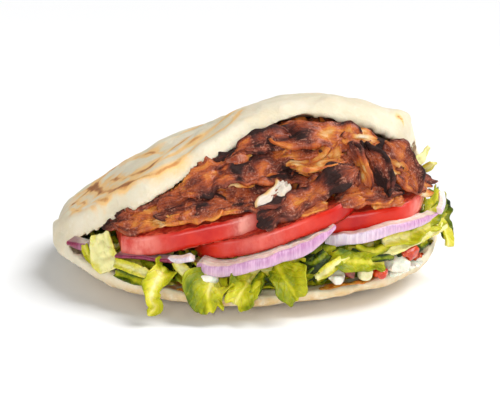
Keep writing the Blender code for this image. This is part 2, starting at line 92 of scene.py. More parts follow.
def cell_value(cells, seed):
    """Repeatable scattered numbers from -1 to 1 for whole-number places."""
    mixed = (cells[..., 0] * 374761393 + cells[..., 1] * 668265263
             + cells[..., 2] * 1440662683 + int(seed) * 974634777) & 0xFFFFFFFF
    mixed = ((mixed ^ (mixed >> 13)) * 1274126177) & 0xFFFFFFFF
    return ((mixed ^ (mixed >> 16)) & 0xFFFF) / 32767.5 - 1


def rough(points, size, seed=0, octaves=1):
    """Smooth noise between about -1 and 1 whose lumps are this many millimetres."""
    points = np.asarray(points, float) / size
    total, share = 0, 1.0
    for octave in range(octaves):
        low = np.floor(points).astype(np.int64)
        part = points - low
        part = part * part * part * (part * (part * 6 - 15) + 10)
        value = 0
        for corner in np.ndindex(2, 2, 2):
            weight = np.prod(np.where(corner, part, 1 - part), axis=-1)
            value = value + weight * cell_value(low + corner, seed + 31 * octave)
        total = total + share * value
        share *= 0.5
        points = points[..., [1, 2, 0]] * 2.03 + 17.1
    return total * 1.25


def ease(value):
    """0 below 0 and 1 above 1, with a soft rise between."""
    value = np.clip(value, 0, 1)
    return value * value * (3 - 2 * value)


def stack(*parts):
    """One array of x, y, z from three arrays that broadcast together."""
    return np.stack(np.broadcast_arrays(*parts), axis=-1)


def unit(vectors):
    return vectors / (np.linalg.norm(vectors, axis=-1, keepdims=True) + 1e-9)


def bands(x, places):
    """Soft bands across x: where each lies, how wide it is and how strong."""
    return sum(much * np.exp(-((x - at) / wide) ** 2) for at, wide, much in places)


# ------------------------------------------------------------------ meshes

class Pile:
    """Points and faces of one piece, with numbers stored on its points."""

    def __init__(self):
        self.points, self.faces, self.numbers, self.count = [], [], [], 0

    def add(self, points, *faces, **numbers):
        self.points.append(np.asarray(points, float))
        for block in faces:
            self.faces += [tuple(face) for face in (block + self.count).tolist()]
        self.numbers.append({key: np.asarray(value, float) for key, value in numbers.items()})
        self.count += len(points)

    def mesh(self, name, finish, shift=True):
        """A mesh in metres, moved from the bread's frame to the sandwich's unless told not to."""
        mesh = bpy.data.meshes.new(name)
        points = (np.concatenate(self.points) + SHIFT * shift) * MM
        mesh.from_pydata(points.tolist(), [], self.faces)
        for key in self.numbers[0]:
            store(mesh, key, np.concatenate([each[key] for each in self.numbers]))
        mesh.shade_smooth()
        mesh.materials.append(finish)
        return mesh

    def build(self, name, finish, slot, *nodes):
        """The finished piece, riding on the sandwich in place of these nodes."""
        thing = add_object(name, self.mesh(name, finish))
        keep(thing, slot, *nodes)
        return thing


def add_object(name, data):
    """A new object in the scene."""
    thing = bpy.data.objects.new(name, data)
    bpy.context.scene.collection.objects.link(thing)
    return thing


def store(mesh, key, values):
    """Keeps one number, or one place in metres, on every point of a mesh."""
    if values.ndim == 2:
        layer = mesh.attributes.new(key, "FLOAT_VECTOR", "POINT")
        layer.data.foreach_set("vector", (values * MM).astype(np.float32).ravel())
    else:
        layer = mesh.attributes.new(key, "FLOAT", "POINT")
        layer.data.foreach_set("value", values.astype(np.float32))


def dress(mesh, finish):
    """Gives a mesh this material and no other."""
    mesh.materials.clear()
    mesh.materials.append(finish)


def keep(thing, slot, *nodes):
    """Lets a piece ride on the sandwich, in place of these nodes."""
    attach(thing, "root")
    if nodes:
        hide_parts(*nodes)


def read_points(mesh):
    """A mesh's points, in millimetres in the bread's frame."""
    flat = np.empty(len(mesh.vertices) * 3, np.float32)
    mesh.vertices.foreach_get("co", flat)
    return flat.reshape(-1, 3) / MM - SHIFT


def write_points(mesh, points):
    mesh.vertices.foreach_set("co", ((points + SHIFT) * MM).astype(np.float32).ravel())
    mesh.update()


def read_edges(mesh):
    flat = np.empty(len(mesh.edges) * 2, np.int32)
    mesh.edges.foreach_get("vertices", flat)
    return flat.reshape(-1, 2)


def read_normals(mesh):
    flat = np.empty(len(mesh.vertices) * 3, np.float32)
    mesh.vertex_normals.foreach_get("vector", flat)
    return flat.reshape(-1, 3).astype(float)


def evaluated_mesh(thing):
    """A plain mesh of an object as its modifiers leave it."""
    bpy.context.view_layer.update()
    graph = bpy.context.evaluated_depsgraph_get()
    return bpy.data.meshes.new_from_object(thing.evaluated_get(graph), depsgraph=graph)


def apply_modifiers(thing):
    """Gives an object the plain mesh that its modifiers leave, and removes them."""
    mesh = evaluated_mesh(thing)
    thing.modifiers.clear()
    thing.data = mesh
    return mesh


def neighbour_means(values, edges):
    """The mean of each point's neighbours, for a number or a place on every point."""
    count = np.bincount(edges.ravel(), minlength=len(values))
    one, other = edges.T
    totals = [np.bincount(one, column[other], len(values))
              + np.bincount(other, column[one], len(values)) for column in np.atleast_2d(values.T)]
    return (np.array(totals) / count).T.reshape(values.shape)


IN_SHARE, OUT_SHARE = 0.5, -0.52  # how far a smoothing round goes in, and back out
WELD_REACH = 0.01  # points of a solid that are closer than this are one point


def relaxed(points, edges, rounds):
    """Smooths points without shrinking them: each round goes in and then back out."""
    for share in (IN_SHARE, OUT_SHARE) * rounds:
        points = points + share * (neighbour_means(points, edges) - points)
    return points


def recast(node, voxel, rounds):
    """An even, smooth copy of a node's solid."""
    thing = add_object(node + "_copy", frame["nodes"][node].data.copy())
    weld = thing.modifiers.new("weld", "WELD")
    weld.merge_threshold = WELD_REACH * MM
    even = thing.modifiers.new("even", "REMESH")
    even.mode = "VOXEL"
    even.voxel_size = voxel * MM
    mesh = apply_modifiers(thing)
    write_points(mesh, relaxed(read_points(mesh), read_edges(mesh), rounds))
    mesh.shade_smooth()
    return thing


def sheet(middle, half):
    """A closed sheet around a grid of points; half is half its thickness at each of them."""
    normal = unit(np.cross(np.gradient(middle, axis=0), np.gradient(middle, axis=1)))
    half = np.broadcast_to(half, middle.shape[:2])[..., None]
    rows, columns = middle.shape[:2]
    points = np.concatenate([(middle + normal * half).reshape(-1, 3),
                             (middle - normal * half).reshape(-1, 3)])
    under = rows * columns
    corner = (np.arange(rows - 1)[:, None] * columns + np.arange(columns - 1)).ravel()
    upper = np.stack([corner, corner + columns, corner + columns + 1, corner + 1], axis=1)
    rim = np.concatenate([
        np.arange(rows) * columns,
        (rows - 1) * columns + np.arange(1, columns),
        np.arange(rows - 2, -1, -1) * columns + columns - 1,
        np.arange(columns - 2, 0, -1),
    ])
    after = np.roll(rim, -1)
    side = np.stack([rim, rim + under, after + under, after], axis=1)
    return points, np.concatenate([upper, upper[:, ::-1] + under, side])


def doubled(values):
    """Numbers of a sheet's grid, repeated for its two faces."""
    return np.concatenate([values.reshape(-1, *values.shape[2:])] * 2)


def lofted(rings):
    """Points and faces of a closed skin over rings, with a hub in the first and the last."""
    count, around = rings.shape[:2]
    corner = (np.arange(count - 1)[:, None] * around + np.arange(around)).ravel()
    after = (np.arange(count - 1)[:, None] * around + (np.arange(around) + 1) % around).ravel()
    quads = np.stack([corner, corner + around, after + around, after], axis=1)
    first = np.arange(around)
    last = (count - 1) * around + first
    hub = count * around
    fans = np.concatenate([
        np.stack([first, np.roll(first, -1), 0 * first + hub], axis=1),
        np.stack([last, 0 * last + hub + 1, np.roll(last, -1)], axis=1),
    ])
    return with_hubs(rings), quads, fans


def with_hubs(values):
    """Numbers of a stack of rings, followed by those of its two hubs."""
    flat = values.reshape(-1, *values.shape[2:])
    return np.concatenate([flat, values[:1].mean(axis=1), values[-1:].mean(axis=1)])


def curve_through(stops, count):
    """Evenly spread points of a smooth curve through a few stops."""
    stops = np.asarray(stops, float)
    at = np.concatenate([[0], np.cumsum(np.linalg.norm(np.diff(stops, axis=0), axis=1))])
    slopes = np.gradient(stops, at, axis=0)
    here = np.linspace(0, at[-1], count)
    i = np.clip(np.searchsorted(at, here) - 1, 0, len(at) - 2)
    span = (at[i + 1] - at[i])[:, None]
    u = (here - at[i])[:, None] / span
    return (stops[i] * (1 + 2 * u) * (1 - u) ** 2 + stops[i + 1] * u * u * (3 - 2 * u)
            + span * (slopes[i] * u * (1 - u) ** 2 - slopes[i + 1] * u * u * (1 - u)))


# ------------------------------------------------------------------ room round the pieces

def solid_tree(names):
    """A search tree over these nodes' solids, in millimetres in the bread's frame."""
    points, faces, count = [], [], 0
    for name in names:
        mesh = frame["nodes"][name].data
        mesh.calc_loop_triangles()
        corners = np.empty(len(mesh.loop_triangles) * 3, np.int32)
        mesh.loop_triangles.foreach_get("vertices", corners)
        points.append(read_points(mesh))
        faces.append(corners.reshape(-1, 3) + count)
        count += len(mesh.vertices)
    return BVHTree.FromPolygons(np.vstack(points).tolist(), np.vstack(faces).tolist())


class Pocket:
    """Heights of the pocket's floor and ceiling over a grid of places."""

    STEP = 1.5
    REACH = 99.0
    OPEN = 999.0
    ABOVE = 120.0  # higher than the bread
    SKIN = 0.05  # how far past a face the search goes on

    def __init__(self, tree):
        places = np.arange(-self.REACH, self.REACH + 0.1, self.STEP)
        self.floor = np.full((len(places), len(places)), -self.OPEN)
        self.ceiling = np.full((len(places), len(places)), self.OPEN)
        for i, x in enumerate(places):
            for j, y in enumerate(places):
                hits, z = [], self.ABOVE
                while len(hits) < 4:
                    hit = tree.ray_cast(Vector((x, y, z)), Vector((0, 0, -1)))[0]
                    if hit is None:
                        break
                    hits.append(hit.z)
                    z = hit.z - self.SKIN
                if len(hits) >= 2:
                    self.floor[i, j] = hits[-2]
                if len(hits) == 4:
                    self.ceiling[i, j] = hits[1]

    def at(self, points):
        """Floor and ceiling under and over each point."""
        i, j = (np.clip(np.rint((points[..., axis] + self.REACH) / self.STEP).astype(int), 0,
                        len(self.floor) - 1) for axis in (0, 1))
        return self.floor[i, j], self.ceiling[i, j]

    def settle(self, points, room=0.5):
        """Points pushed up off the floor and down from the ceiling."""
        floor, ceiling = self.at(points)
        moved = points.copy()
        moved[..., 2] = np.minimum(np.maximum(points[..., 2], floor + room), ceiling - room)
        return moved


VIEW_RISES = (5, 25, 50)  # degrees above level
VIEW_TURNS = (-150, -120, -90, -60, -30, 0, 25)  # degrees round from +X
VIEW_START = 1.2  # how far off the surface a look begins


def in_view(points, normals, tree):
    """The share of the sky in front of the mouth that each point sees, from 0 to 1."""
    ways = []
    for rise in VIEW_RISES:
        for turn in VIEW_TURNS:
            a, b = math.radians(turn), math.radians(rise)
            ways.append(Vector((math.cos(a) * math.cos(b), math.sin(a) * math.cos(b), math.sin(b))))
    seen = []
    for point, normal in zip(points.tolist(), normals.tolist()):
        spot = Vector(point) + Vector(normal) * VIEW_START
        free = [way.dot(normal) > -0.2 and tree.ray_cast(spot, way)[0] is None for way in ways]
        seen.append(sum(free) / len(ways))
    return np.array(seen)


# ------------------------------------------------------------------ node trees

class Field:
    """A socket of a node tree; arithmetic on it adds the Math nodes that it needs."""

    def __init__(self, tree, socket=None):
        self.tree, self.socket = tree, socket

    def node(self, kind, settings=None, out=0, **sockets):
        """Adds one node: its settings first, then the values or links of its sockets."""
        made = self.tree.nodes.new(kind)
        for key, value in (settings or {}).items():
            if key == "stops":
                fill_ramp(made.color_ramp, value)
            else:
                setattr(made, key, value)
        for key, value in sockets.items():
            name = int(key[1:]) if key[1:].isdigit() else key.replace("_", " ")
            if isinstance(value, Field):
                self.tree.links.new(value.socket, made.inputs[name])
            else:
                made.inputs[name].default_value = value
        return Field(self.tree, made.outputs[out])

    def math(self, operation, *others):
        values = {f"_{i}": value for i, value in enumerate((self, *others))}
        return self.node("ShaderNodeMath", {"operation": operation}, **values)

    def __add__(self, other):
        return self.math("ADD", other)

    def __mul__(self, other):
        return self.math("MULTIPLY", other)

    def __sub__(self, other):
        return self.math("SUBTRACT", other)

    def __rsub__(self, other):
        return self.math("MULTIPLY", -1).math("ADD", other)

    def __pow__(self, other):
        return self.math("POWER", other)

    __radd__ = __add__
    __rmul__ = __mul__

    def step(self, low, high):
        """A soft rise from 0 at low to 1 at high."""
        return self.node("ShaderNodeMapRange", {"interpolation_type": "SMOOTHSTEP"},
                         Value=self, From_Min=low, From_Max=high)

    def noise(self, size, detail=2.0, roughness=0.5, distortion=0.0):
        """Noise from 0 to 1 whose lumps are this many millimetres."""
        return self.node("ShaderNodeTexNoise", Vector=self, Scale=1 / (size * MM), Detail=detail,
                         Roughness=roughness, Distortion=distortion)

    def cells(self, size):
        """How far the nearest of many spots is; they lie this many millimetres apart."""
        return self.node("ShaderNodeTexVoronoi", {"feature": "F1"}, "Distance",
                         Vector=self, Scale=1 / (size * MM))

    def stretch(self, x, y, z):
        return self.node("ShaderNodeVectorMath", {"operation": "MULTIPLY"}, _0=self, _1=(x, y, z))

    def mix(self, low, high):
        """The colour between two others that this number picks."""
        return self.node("ShaderNodeMix", {"data_type": "RGBA"}, 2, _0=self, _6=low, _7=high)

    def bump(self, depth, strength):
        """A relief this many millimetres deep."""
        return self.node("ShaderNodeBump", Height=self, Distance=depth * MM, Strength=strength)


def fill_ramp(ramp, stops):
    """Gives a colour ramp these places and colours."""
    while len(ramp.elements) < len(stops):
        ramp.elements.new(1.0)
    for element, (place, colour) in zip(ramp.elements, stops):
        element.position = place
        element.color = colour


def tint(red, green, blue):
    """A colour from screen values of 0 to 255."""
    screen = np.array((red, green, blue)) / 255
    linear = np.where(screen > 0.04045, ((screen + 0.055) / 1.055) ** 2.4, screen / 12.92)
    return (*linear.tolist(), 1.0)


class Finish:
    """A material whose shader takes fixed values here and patterns through wire."""

    def __init__(self, name, **values):
        self.material = bpy.data.materials.new(name)
        self.material.use_nodes = True
        self.tree = self.material.node_tree
        self.shader = self.tree.nodes["Principled BSDF"]
        for key, value in values.items():
            self.shader.inputs[key.replace("_", " ")].default_value = value
        self.place = Field(self.tree).node("ShaderNodeTexCoord", out="Object")

    def stored(self, name, out="Fac"):
        return Field(self.tree).node("ShaderNodeAttribute", {"attribute_name": name}, out)

    def wire(self, **fields):
        for key, field in fields.items():
            self.tree.links.new(field.socket, self.shader.inputs[key.replace("_", " ")])
        return self.material


def new_tree(name, **kinds):
    """A Geometry Nodes tree with these inputs, and the fields that read them."""
    tree = bpy.data.node_groups.new(name, "GeometryNodeTree")
    for label, kind in kinds.items():
        tree.interface.new_socket(label, in_out="INPUT", socket_type="NodeSocket" + kind)
    tree.interface.new_socket("Made", in_out="OUTPUT", socket_type="NodeSocketGeometry")
    start = tree.nodes.new("NodeGroupInput")
    return tree, {label: Field(tree, start.outputs[label]) for label in kinds}


def end_tree(tree, made, finish):
    """Ends a tree: what it made becomes one real mesh with this material."""
    real = made.node("GeometryNodeRealizeInstances", Geometry=made)
    dressed = real.node("GeometryNodeSetMaterial", Geometry=real, Material=finish)
    end = tree.nodes.new("NodeGroupOutput")
    tree.links.new(dressed.socket, end.inputs[0])


def use_tree(thing, tree, **values):
    """Puts a tree on an object, with these values for its inputs."""
    made = thing.modifiers.new(tree.name, "NODES")
    made.node_group = tree
    for item in tree.interface.items_tree:
        if item.in_out == "INPUT" and item.name in values:
            made[item.identifier] = values[item.name]


# ------------------------------------------------------------------ bread

BREAD_MIDDLE_X = -3.0
BREAD_HALF_LENGTH = 85.0
BREAD_HALF_DEPTH = 73.0
BREAD_VOXEL = 1.05
BREAD_ROUNDS = 70  # of smoothing
BREAD_RISE = 8.0  # how high the underside is at the rim
FLAT_REACH = 0.5  # the part of the bread's plan radius where its underside lies flat
LIP_TOP = 20.0  # sauce lies on the lower lip below this height
FLOOR_TOP = 34.0  # and stains the floor of the pocket below this one
POCKET_ROOM = 70.0  # the pocket's walls are closer together than this

# Toasted strokes over the left of the top: path in plan, reach of the tint, strength
TOASTED = (
    (((-5, -22), (-11, -36), (-21, -39), (-30, -46), (-40, -47), (-51, -43)), 4.0, 0.8),
    (((-51, -43), (-59, -33), (-68, -8), (-71, 12)), 4.5, 0.95),
    (((-8, -14), (-18, -26), (-30, -34), (-42, -38)), 8.0, 0.5),
    (((-52, 6), (-43, -10), (-37, -30)), 4.0, 0.85),
    (((-28, -14), (-38, -28), (-43, -37), (-52, -29), (-62, -10)), 4.5, 0.9),
    (((-74, 12), (-66, -16), (-57, -38), (-48, -44)), 4.0, 1.05),
    (((-78, 0), (-70, -26), (-61, -40)), 4.0, 1.0),
    (((-80, -8), (-73, -30), (-65, -39)), 3.5, 0.9),
    (((-58, 26), (-67, 14), (-75, 2)), 4.0, 0.9),
    (((-62, 0), (-66, -12), (-60, -28)), 9.0, 0.45),
    (((60, -24), (65, -24)), 1.6, 0.9),
    (((72, -8), (70, -16), (66, -24)), 3.0, 0.5),
)
# Bars of the grill: how they are turned in degrees, gap, width, offset, strength
GRILL_BARS = ((8, 12.5, 3.0, 0.0, 1.0), (-38, 17.0, 2.4, 4.0, 0.6))


def bread_finish():
    made = Finish("floury_bread", Roughness=0.8, Subsurface_Weight=0.1, Subsurface_Scale=0.003)
    place = made.place
    toast, crumb = made.stored("toast"), made.stored("crumb")
    under, stain, sauce = made.stored("under"), made.stored("stain"), made.stored("sauce")
    dough = place.noise(16, 3).step(0.35, 0.68).mix(tint(223, 211, 182), tint(232, 222, 198))
    mottle = place.noise(4.5, 4, 0.6).step(0.42, 0.75) * 0.34
    dough = mottle.mix(dough, tint(226, 206, 164))
    flour = place.noise(2.2, 5, 0.7).step(0.52, 0.72) * 0.45
    dough = flour.mix(dough, tint(239, 231, 212))
    inner = place.noise(3, 4, 0.6).step(0.3, 0.7).mix(tint(228, 208, 166), tint(238, 224, 192))
    dough = crumb.mix(dough, inner)
    baked = (under * place.noise(5, 4, 0.6).step(0.2, 0.7)).mix(dough, tint(208, 172, 112))
    mark = toast + (place.noise(1.6, 4, 0.6) - 0.5) * 0.3 * toast.step(0.02, 0.3)
    light = (mark.step(0.06, 0.5) * 0.9).mix(baked, tint(244, 196, 124))
    brown = (mark.step(0.55, 0.85) * 0.85).mix(light, tint(204, 136, 70))
    dark = (mark.step(0.85, 1.1) * 0.8).mix(brown, tint(148, 90, 48))
    wet = (stain + (place.noise(2.4, 3) - 0.5) * 0.7 * stain.step(0.02, 0.3)).step(0.15, 0.8)
    wiped = (sauce + (place.noise(2.8, 4, 0.6) - 0.5) * 0.7 * sauce.step(0.02, 0.3)).step(0.3, 0.48)
    stained = (wet * 0.9).mix(dark, tint(214, 118, 36))
    colour = (wiped * 0.95).mix(stained, tint(240, 236, 220))
    relief = place.noise(1.3, 5, 0.65) + place.noise(0.45, 2) * 0.35 + place.noise(5, 2) * 0.8
    pits = place.cells(1.5).step(0.0, 0.45) * crumb * 0.8
    gloss = 0.82 - wet * 0.4 - toast * 0.1 - wiped * 0.3
    relief = (relief + pits) * (1 - wiped * 0.7) + wiped * 1.2
    return made.wire(Base_Color=colour, Roughness=gloss, Normal=relief.bump(0.42, 0.8))


def grill_marks(points):
    """How brown the top is: strokes at the left, and fainter bars of a grill further back."""
    x, y = points[:, 0], points[:, 1]
    drift = rough(points, 22, 5) * 3.0 + rough(points, 7, 6) * 0.9
    total = np.zeros(len(points))
    for turn, gap, width, offset, share in GRILL_BARS:
        a = math.radians(turn)
        across = -math.sin(a) * x + math.cos(a) * y + drift + offset
        along = math.cos(a) * x + math.sin(a) * y
        near = np.abs((across + gap / 2) % gap - gap / 2)
        where = rough(stack(along / 2.2, across / 3, 0 * x), 9, 7, 2)
        strength = np.clip(0.5 + 0.9 * where, 0, 1.1) * share
        total = np.maximum(total, strength * np.clip(1.1 - near / width, 0, 1))
    total *= (0.25 + 0.75 * ease((30 - x) / 70)) * ease((y - 2) / 16) * ease((x + 82) / 22)
    wander = stack(x + 1.2 * rough(points, 10, 13, 2), y + 1.2 * rough(points, 10, 14, 2), 0 * x)
    worn = np.clip(0.9 + 0.5 * rough(points, 14, 15, 2), 0.3, 1.15)
    for path, reach, strength in TOASTED:
        line = curve_through([(*stop, 0) for stop in path], 50)
        away = np.min([np.hypot(*(wander - stop).T[:2]) for stop in line], axis=0)
        halo, core = np.clip(1 - away / reach, 0, 1), np.clip(1 - away / (0.3 * reach), 0, 1)
        total = np.maximum(total, strength * worn * (0.5 * halo ** 0.55 + 0.6 * core ** 0.6))
    blot = ease((rough(points, 11, 9, 2) - 0.25) * 1.6) * 0.3 * ease((20 - x) / 60)
    reach = np.hypot((x - BREAD_MIDDLE_X) / BREAD_HALF_LENGTH, y / BREAD_HALF_DEPTH)
    return np.clip(total + blot, 0, 1.15) * ease((1.02 - reach) * 8)


def shut_in(points, normals, tree):
    """1 for a point that looks at the bread across the pocket, 0 for one that looks out."""
    found = []
    for point, normal in zip(points.tolist(), normals.tolist()):
        start = Vector(point) + Vector(normal) * 0.8
        found.append(tree.ray_cast(start, Vector(normal), POCKET_ROOM)[0] is not None)
    return np.array(found, float)


def spread(values, edges, rounds):
    """Numbers on a mesh's points, evened out over their neighbours."""
    for _ in range(rounds):
        values = 0.5 * values + 0.5 * neighbour_means(values, edges)
    return values


def bread():
    thing = recast("pita_bread", BREAD_VOXEL, BREAD_ROUNDS)
    thing.name = "pita_pocket"
    mesh = thing.data
    points, edges, normals = read_points(mesh), read_edges(mesh), read_normals(mesh)
    faces = np.empty(len(mesh.polygons) * 4, np.int32)
    mesh.polygons.foreach_get("vertices", faces)
    tree = BVHTree.FromPolygons(points.tolist(), faces.reshape(-1, 4).tolist())
    crumb = spread(shut_in(points, normals, tree), edges, 6)
    z, up = points[:, 2], normals[:, 2]
    above = z - underside_height(points)
    lip = ease(1 - np.abs(crumb - 0.5) * 2.2)
    dents = 0.7 * rough(points, 19, 1, 2) + 0.28 * rough(points, 6.5, 2, 2)
    torn = lip * (0.9 * rough(points, 2.6, 3, 2) + 0.5 * rough(points, 5.5, 4))
    holes = crumb * 0.5 * rough(points, 3, 11, 2)
    lift = (dents * (1 - 0.5 * crumb) + torn + holes) * ease(z / 6)
    moved = points + normals * lift[:, None]
    moved[:, 2] = np.maximum(moved[:, 2], 0)
    open_floor = ease(up / 0.5 + 0.3) * (z < LIP_TOP) * ease((above - 3) / 3)
    smears = sauce_smears(points, open_floor)
    moved += normals * (0.7 * ease((smears - 0.2) * 2))[:, None]
    write_points(mesh, moved)
    toast = grill_marks(points) * ease((up - 0.05) / 0.3) * (1 - crumb) * ease((above - 10) / 6)
    floor = crumb * ease(up / 0.4) * (z < FLOOR_TOP)
    store(mesh, "toast", toast)
    store(mesh, "crumb", crumb)
    store(mesh, "under", (1 - crumb) * ease((5 - above) / 4.5))
    store(mesh, "stain", sauce_stains(points, np.maximum(floor, open_floor)))
    store(mesh, "sauce", smears)
    dress(mesh, bread_finish())
    keep(thing, "bread", "pita_bread")
    return tree


def underside_height(points):
    """Roughly how high the underside of the bread is above the table."""
    reach = np.hypot((points[:, 0] - BREAD_MIDDLE_X) / BREAD_HALF_LENGTH,
                     points[:, 1] / BREAD_HALF_DEPTH)
    return BREAD_RISE * np.clip((reach - FLAT_REACH) / (1 - FLAT_REACH), 0, 1) ** 2.4


# Thin yoghurt sauce wiped over the lower lip: middle in plan, half sizes, how it is turned
SMEARS = (
    ((-17, -70), (8, 3.0), 5), ((37, -66), (6.5, 3.4), 14), ((50, -60), (5, 2.2), 22),
    ((62, -51), (9, 4.4), 38), ((72, -39), (6, 3.0), 60),
)
# Orange sauce run into the lower bread: where along it, how far it reaches, how much
STAINS = ((-27, 8, 1.0), (42, 17, 0.9))


def sauce_smears(points, floor):
    """How much yoghurt sauce lies on the lower bread."""
    total = np.zeros(len(points))
    for middle, half, turn in SMEARS:
        a = math.radians(turn)
        x, y = points[:, 0] - middle[0], points[:, 1] - middle[1]
        along = (x * math.cos(a) + y * math.sin(a)) / half[0]
        across = (y * math.cos(a) - x * math.sin(a)) / half[1]
        total = np.maximum(total, 1.1 - np.hypot(along, across) * 0.7)
    return np.clip(total + 0.3 * rough(points, 5, 23, 2), 0, 1) * floor


def sauce_stains(points, floor):
    """Thin orange sauce that has run into the lower bread in front of the filling."""
    where = bands(points[:, 0], STAINS)
    spots = ease(rough(points, 7, 21, 2) * 1.2 + 0.6)
    return np.clip(floor * spots * where * 1.2, 0, 1)


# ------------------------------------------------------------------ scattered pieces

PER_SQUARE_CM = 1e4  # square centimetres in a square metre


def scatter_tree(name, shapes, finish):
    """Geometry Nodes that strew copies of a collection's shapes over a ground."""
    tree, given = new_tree(name, Ground="Geometry", Spacing="Float", Density="Float",
                           Smallest="Float", Largest="Float", Tilt="Float", Spin="Float",
                           Seed="Int")
    base = Field(tree)
    share = base.node("GeometryNodeInputNamedAttribute", Name="share")
    spots = base.node("GeometryNodeDistributePointsOnFaces", {"distribute_method": "POISSON"},
                      Mesh=given["Ground"], Distance_Min=given["Spacing"],
                      Density_Max=given["Density"], Density_Factor=share,
                      Seed=given["Seed"])
    upright = Field(tree, spots.socket.node.outputs["Rotation"])

    def chance(low, high, extra):
        return base.node("FunctionNodeRandomValue", out=1, _2=low, _3=high,
                         Seed=given["Seed"] + extra)

    turn = base.node("ShaderNodeCombineXYZ", X=chance(given["Tilt"] * -1, given["Tilt"], 1),
                     Y=chance(given["Tilt"] * -1, given["Tilt"], 2))
    about = base.node("ShaderNodeCombineXYZ", Z=chance(given["Spin"] * -1, given["Spin"], 3))
    lean = base.node("FunctionNodeEulerToRotation", Euler=turn)
    round_up = base.node("FunctionNodeEulerToRotation", Euler=about)
    facing = base.node("FunctionNodeRotateRotation", {"rotation_space": "LOCAL"},
                       Rotation=upright, Rotate_By=round_up)
    facing = base.node("FunctionNodeRotateRotation", {"rotation_space": "LOCAL"},
                       Rotation=facing, Rotate_By=lean)
    kinds = base.node("GeometryNodeCollectionInfo", Collection=shapes, Separate_Children=True,
                      Reset_Children=True)
    placed = base.node("GeometryNodeInstanceOnPoints", Points=spots, Instance=kinds,
                       Pick_Instance=True, Rotation=facing,
                       Scale=chance(given["Smallest"], given["Largest"], 4))
    end_tree(tree, placed, finish)
    return tree


def strewn(name, ground, share, shapes, finish, spacing, number, sizes, seed, tilt,
           spin=3.14):
    """A plain mesh of shapes strewn where share is high; numbers are per square centimetre."""
    holder = bpy.data.collections.new(name + "_shapes")
    bpy.context.scene.collection.children.link(holder)
    for index, pile in enumerate(shapes):
        mesh = pile.mesh(f"{name}_shape_{index}", finish, shift=False)
        holder.objects.link(bpy.data.objects.new(mesh.name, mesh))
    thing = add_object(name, ground.data.copy())
    for layer in list(thing.data.attributes):
        if not layer.is_internal and not layer.is_required:
            thing.data.attributes.remove(layer)
    store(thing.data, "share", share)
    use_tree(thing, scatter_tree(name, holder, finish), Spacing=spacing * MM,
             Density=number * PER_SQUARE_CM, Smallest=sizes[0], Largest=sizes[1], Tilt=tilt,
             Spin=spin, Seed=seed)
    apply_modifiers(thing)
    for shape in list(holder.objects):
        bpy.data.objects.remove(shape)
    bpy.data.collections.remove(holder)
    thing.data.shade_smooth()
    return thing


def add_sheet(pile, key, made, pocket=None, room=0.5):
    """Adds a slice or a leaf to a pile, inside the pocket where that is given."""
    middle, half, spot, tone = made
    points, faces = sheet(middle, half)
    if pocket:
        points = pocket.settle(points, room)
    pile.add(points, faces, **{"grain": doubled(spot), key: doubled(tone)})


def cover(name, core, seen, shapes, finish, slot, pocket, room, **how):
    """Shapes strewn over the part of a heap that can be seen."""
    thing = strewn(name, core, seen, shapes, finish, **how)
    write_points(thing.data, pocket.settle(read_points(thing.data), room))
    keep(thing, slot)


CORE_LUMPS = 4.0  # size of a core's lumps
CORE_ROUNDS = 10  # of smoothing
CORE_ROOM = 0.2  # between a core and the bread


def sink(core, pocket, swell, depth, seed, key, tones, finish, slot, node):
    """Finishes a heap's core, drawn in under what covers it; tones: mean, swing and size."""
    points, normals = read_points(core.data), read_normals(core.data)
    lift = swell * rough(points, CORE_LUMPS, seed, 2) - depth
    points = points + normals * lift[:, None]
    write_points(core.data, pocket.settle(points, CORE_ROOM))
    mean, swing, size = tones
    store(core.data, "grain", points)
    store(core.data, key, mean + swing * rough(points, size, seed + 1, 2))
    dress(core.data, finish)
    keep(core, slot, node)


# ------------------------------------------------------------------ tomato

# Slices, each partly under the one before it: middle, radius, slopes along x and y,
# thickness, and where a side is cut off straight, its direction in degrees and its distance
TOMATOES = {
    "left": ((-19, -16, 40.5), 47, (0.262, 0.14), 8.6, (190, 41.5)),
    "middle": ((10, -32, 36.9), 36, (0.309, 0.06), 7.8, None),
    "right": ((41.5, -23.5, 39.9), 31.5, (0.10, 0.10), 8.8, None),
}
# Painted highlights along each slice's skin, pale pink patches that stand for glints of the soft
# boxes: where, how wide, how pale
PALE = {"left": ((-48, 10, 0.45), (-4, 4.5, 0.75)), "middle": ((4, 14, 0.22),),
        "right": ((70, 5, 0.35),)}
TOMATO_SQUARENESS = 2.6  # 2 would be a round slice
TOMATO_BACK = 8.0
SKIN_BULGE = 1.4
CHAMBERS = 6
SEED_HALF_SIZES = (1.5, 1.0, 0.45)


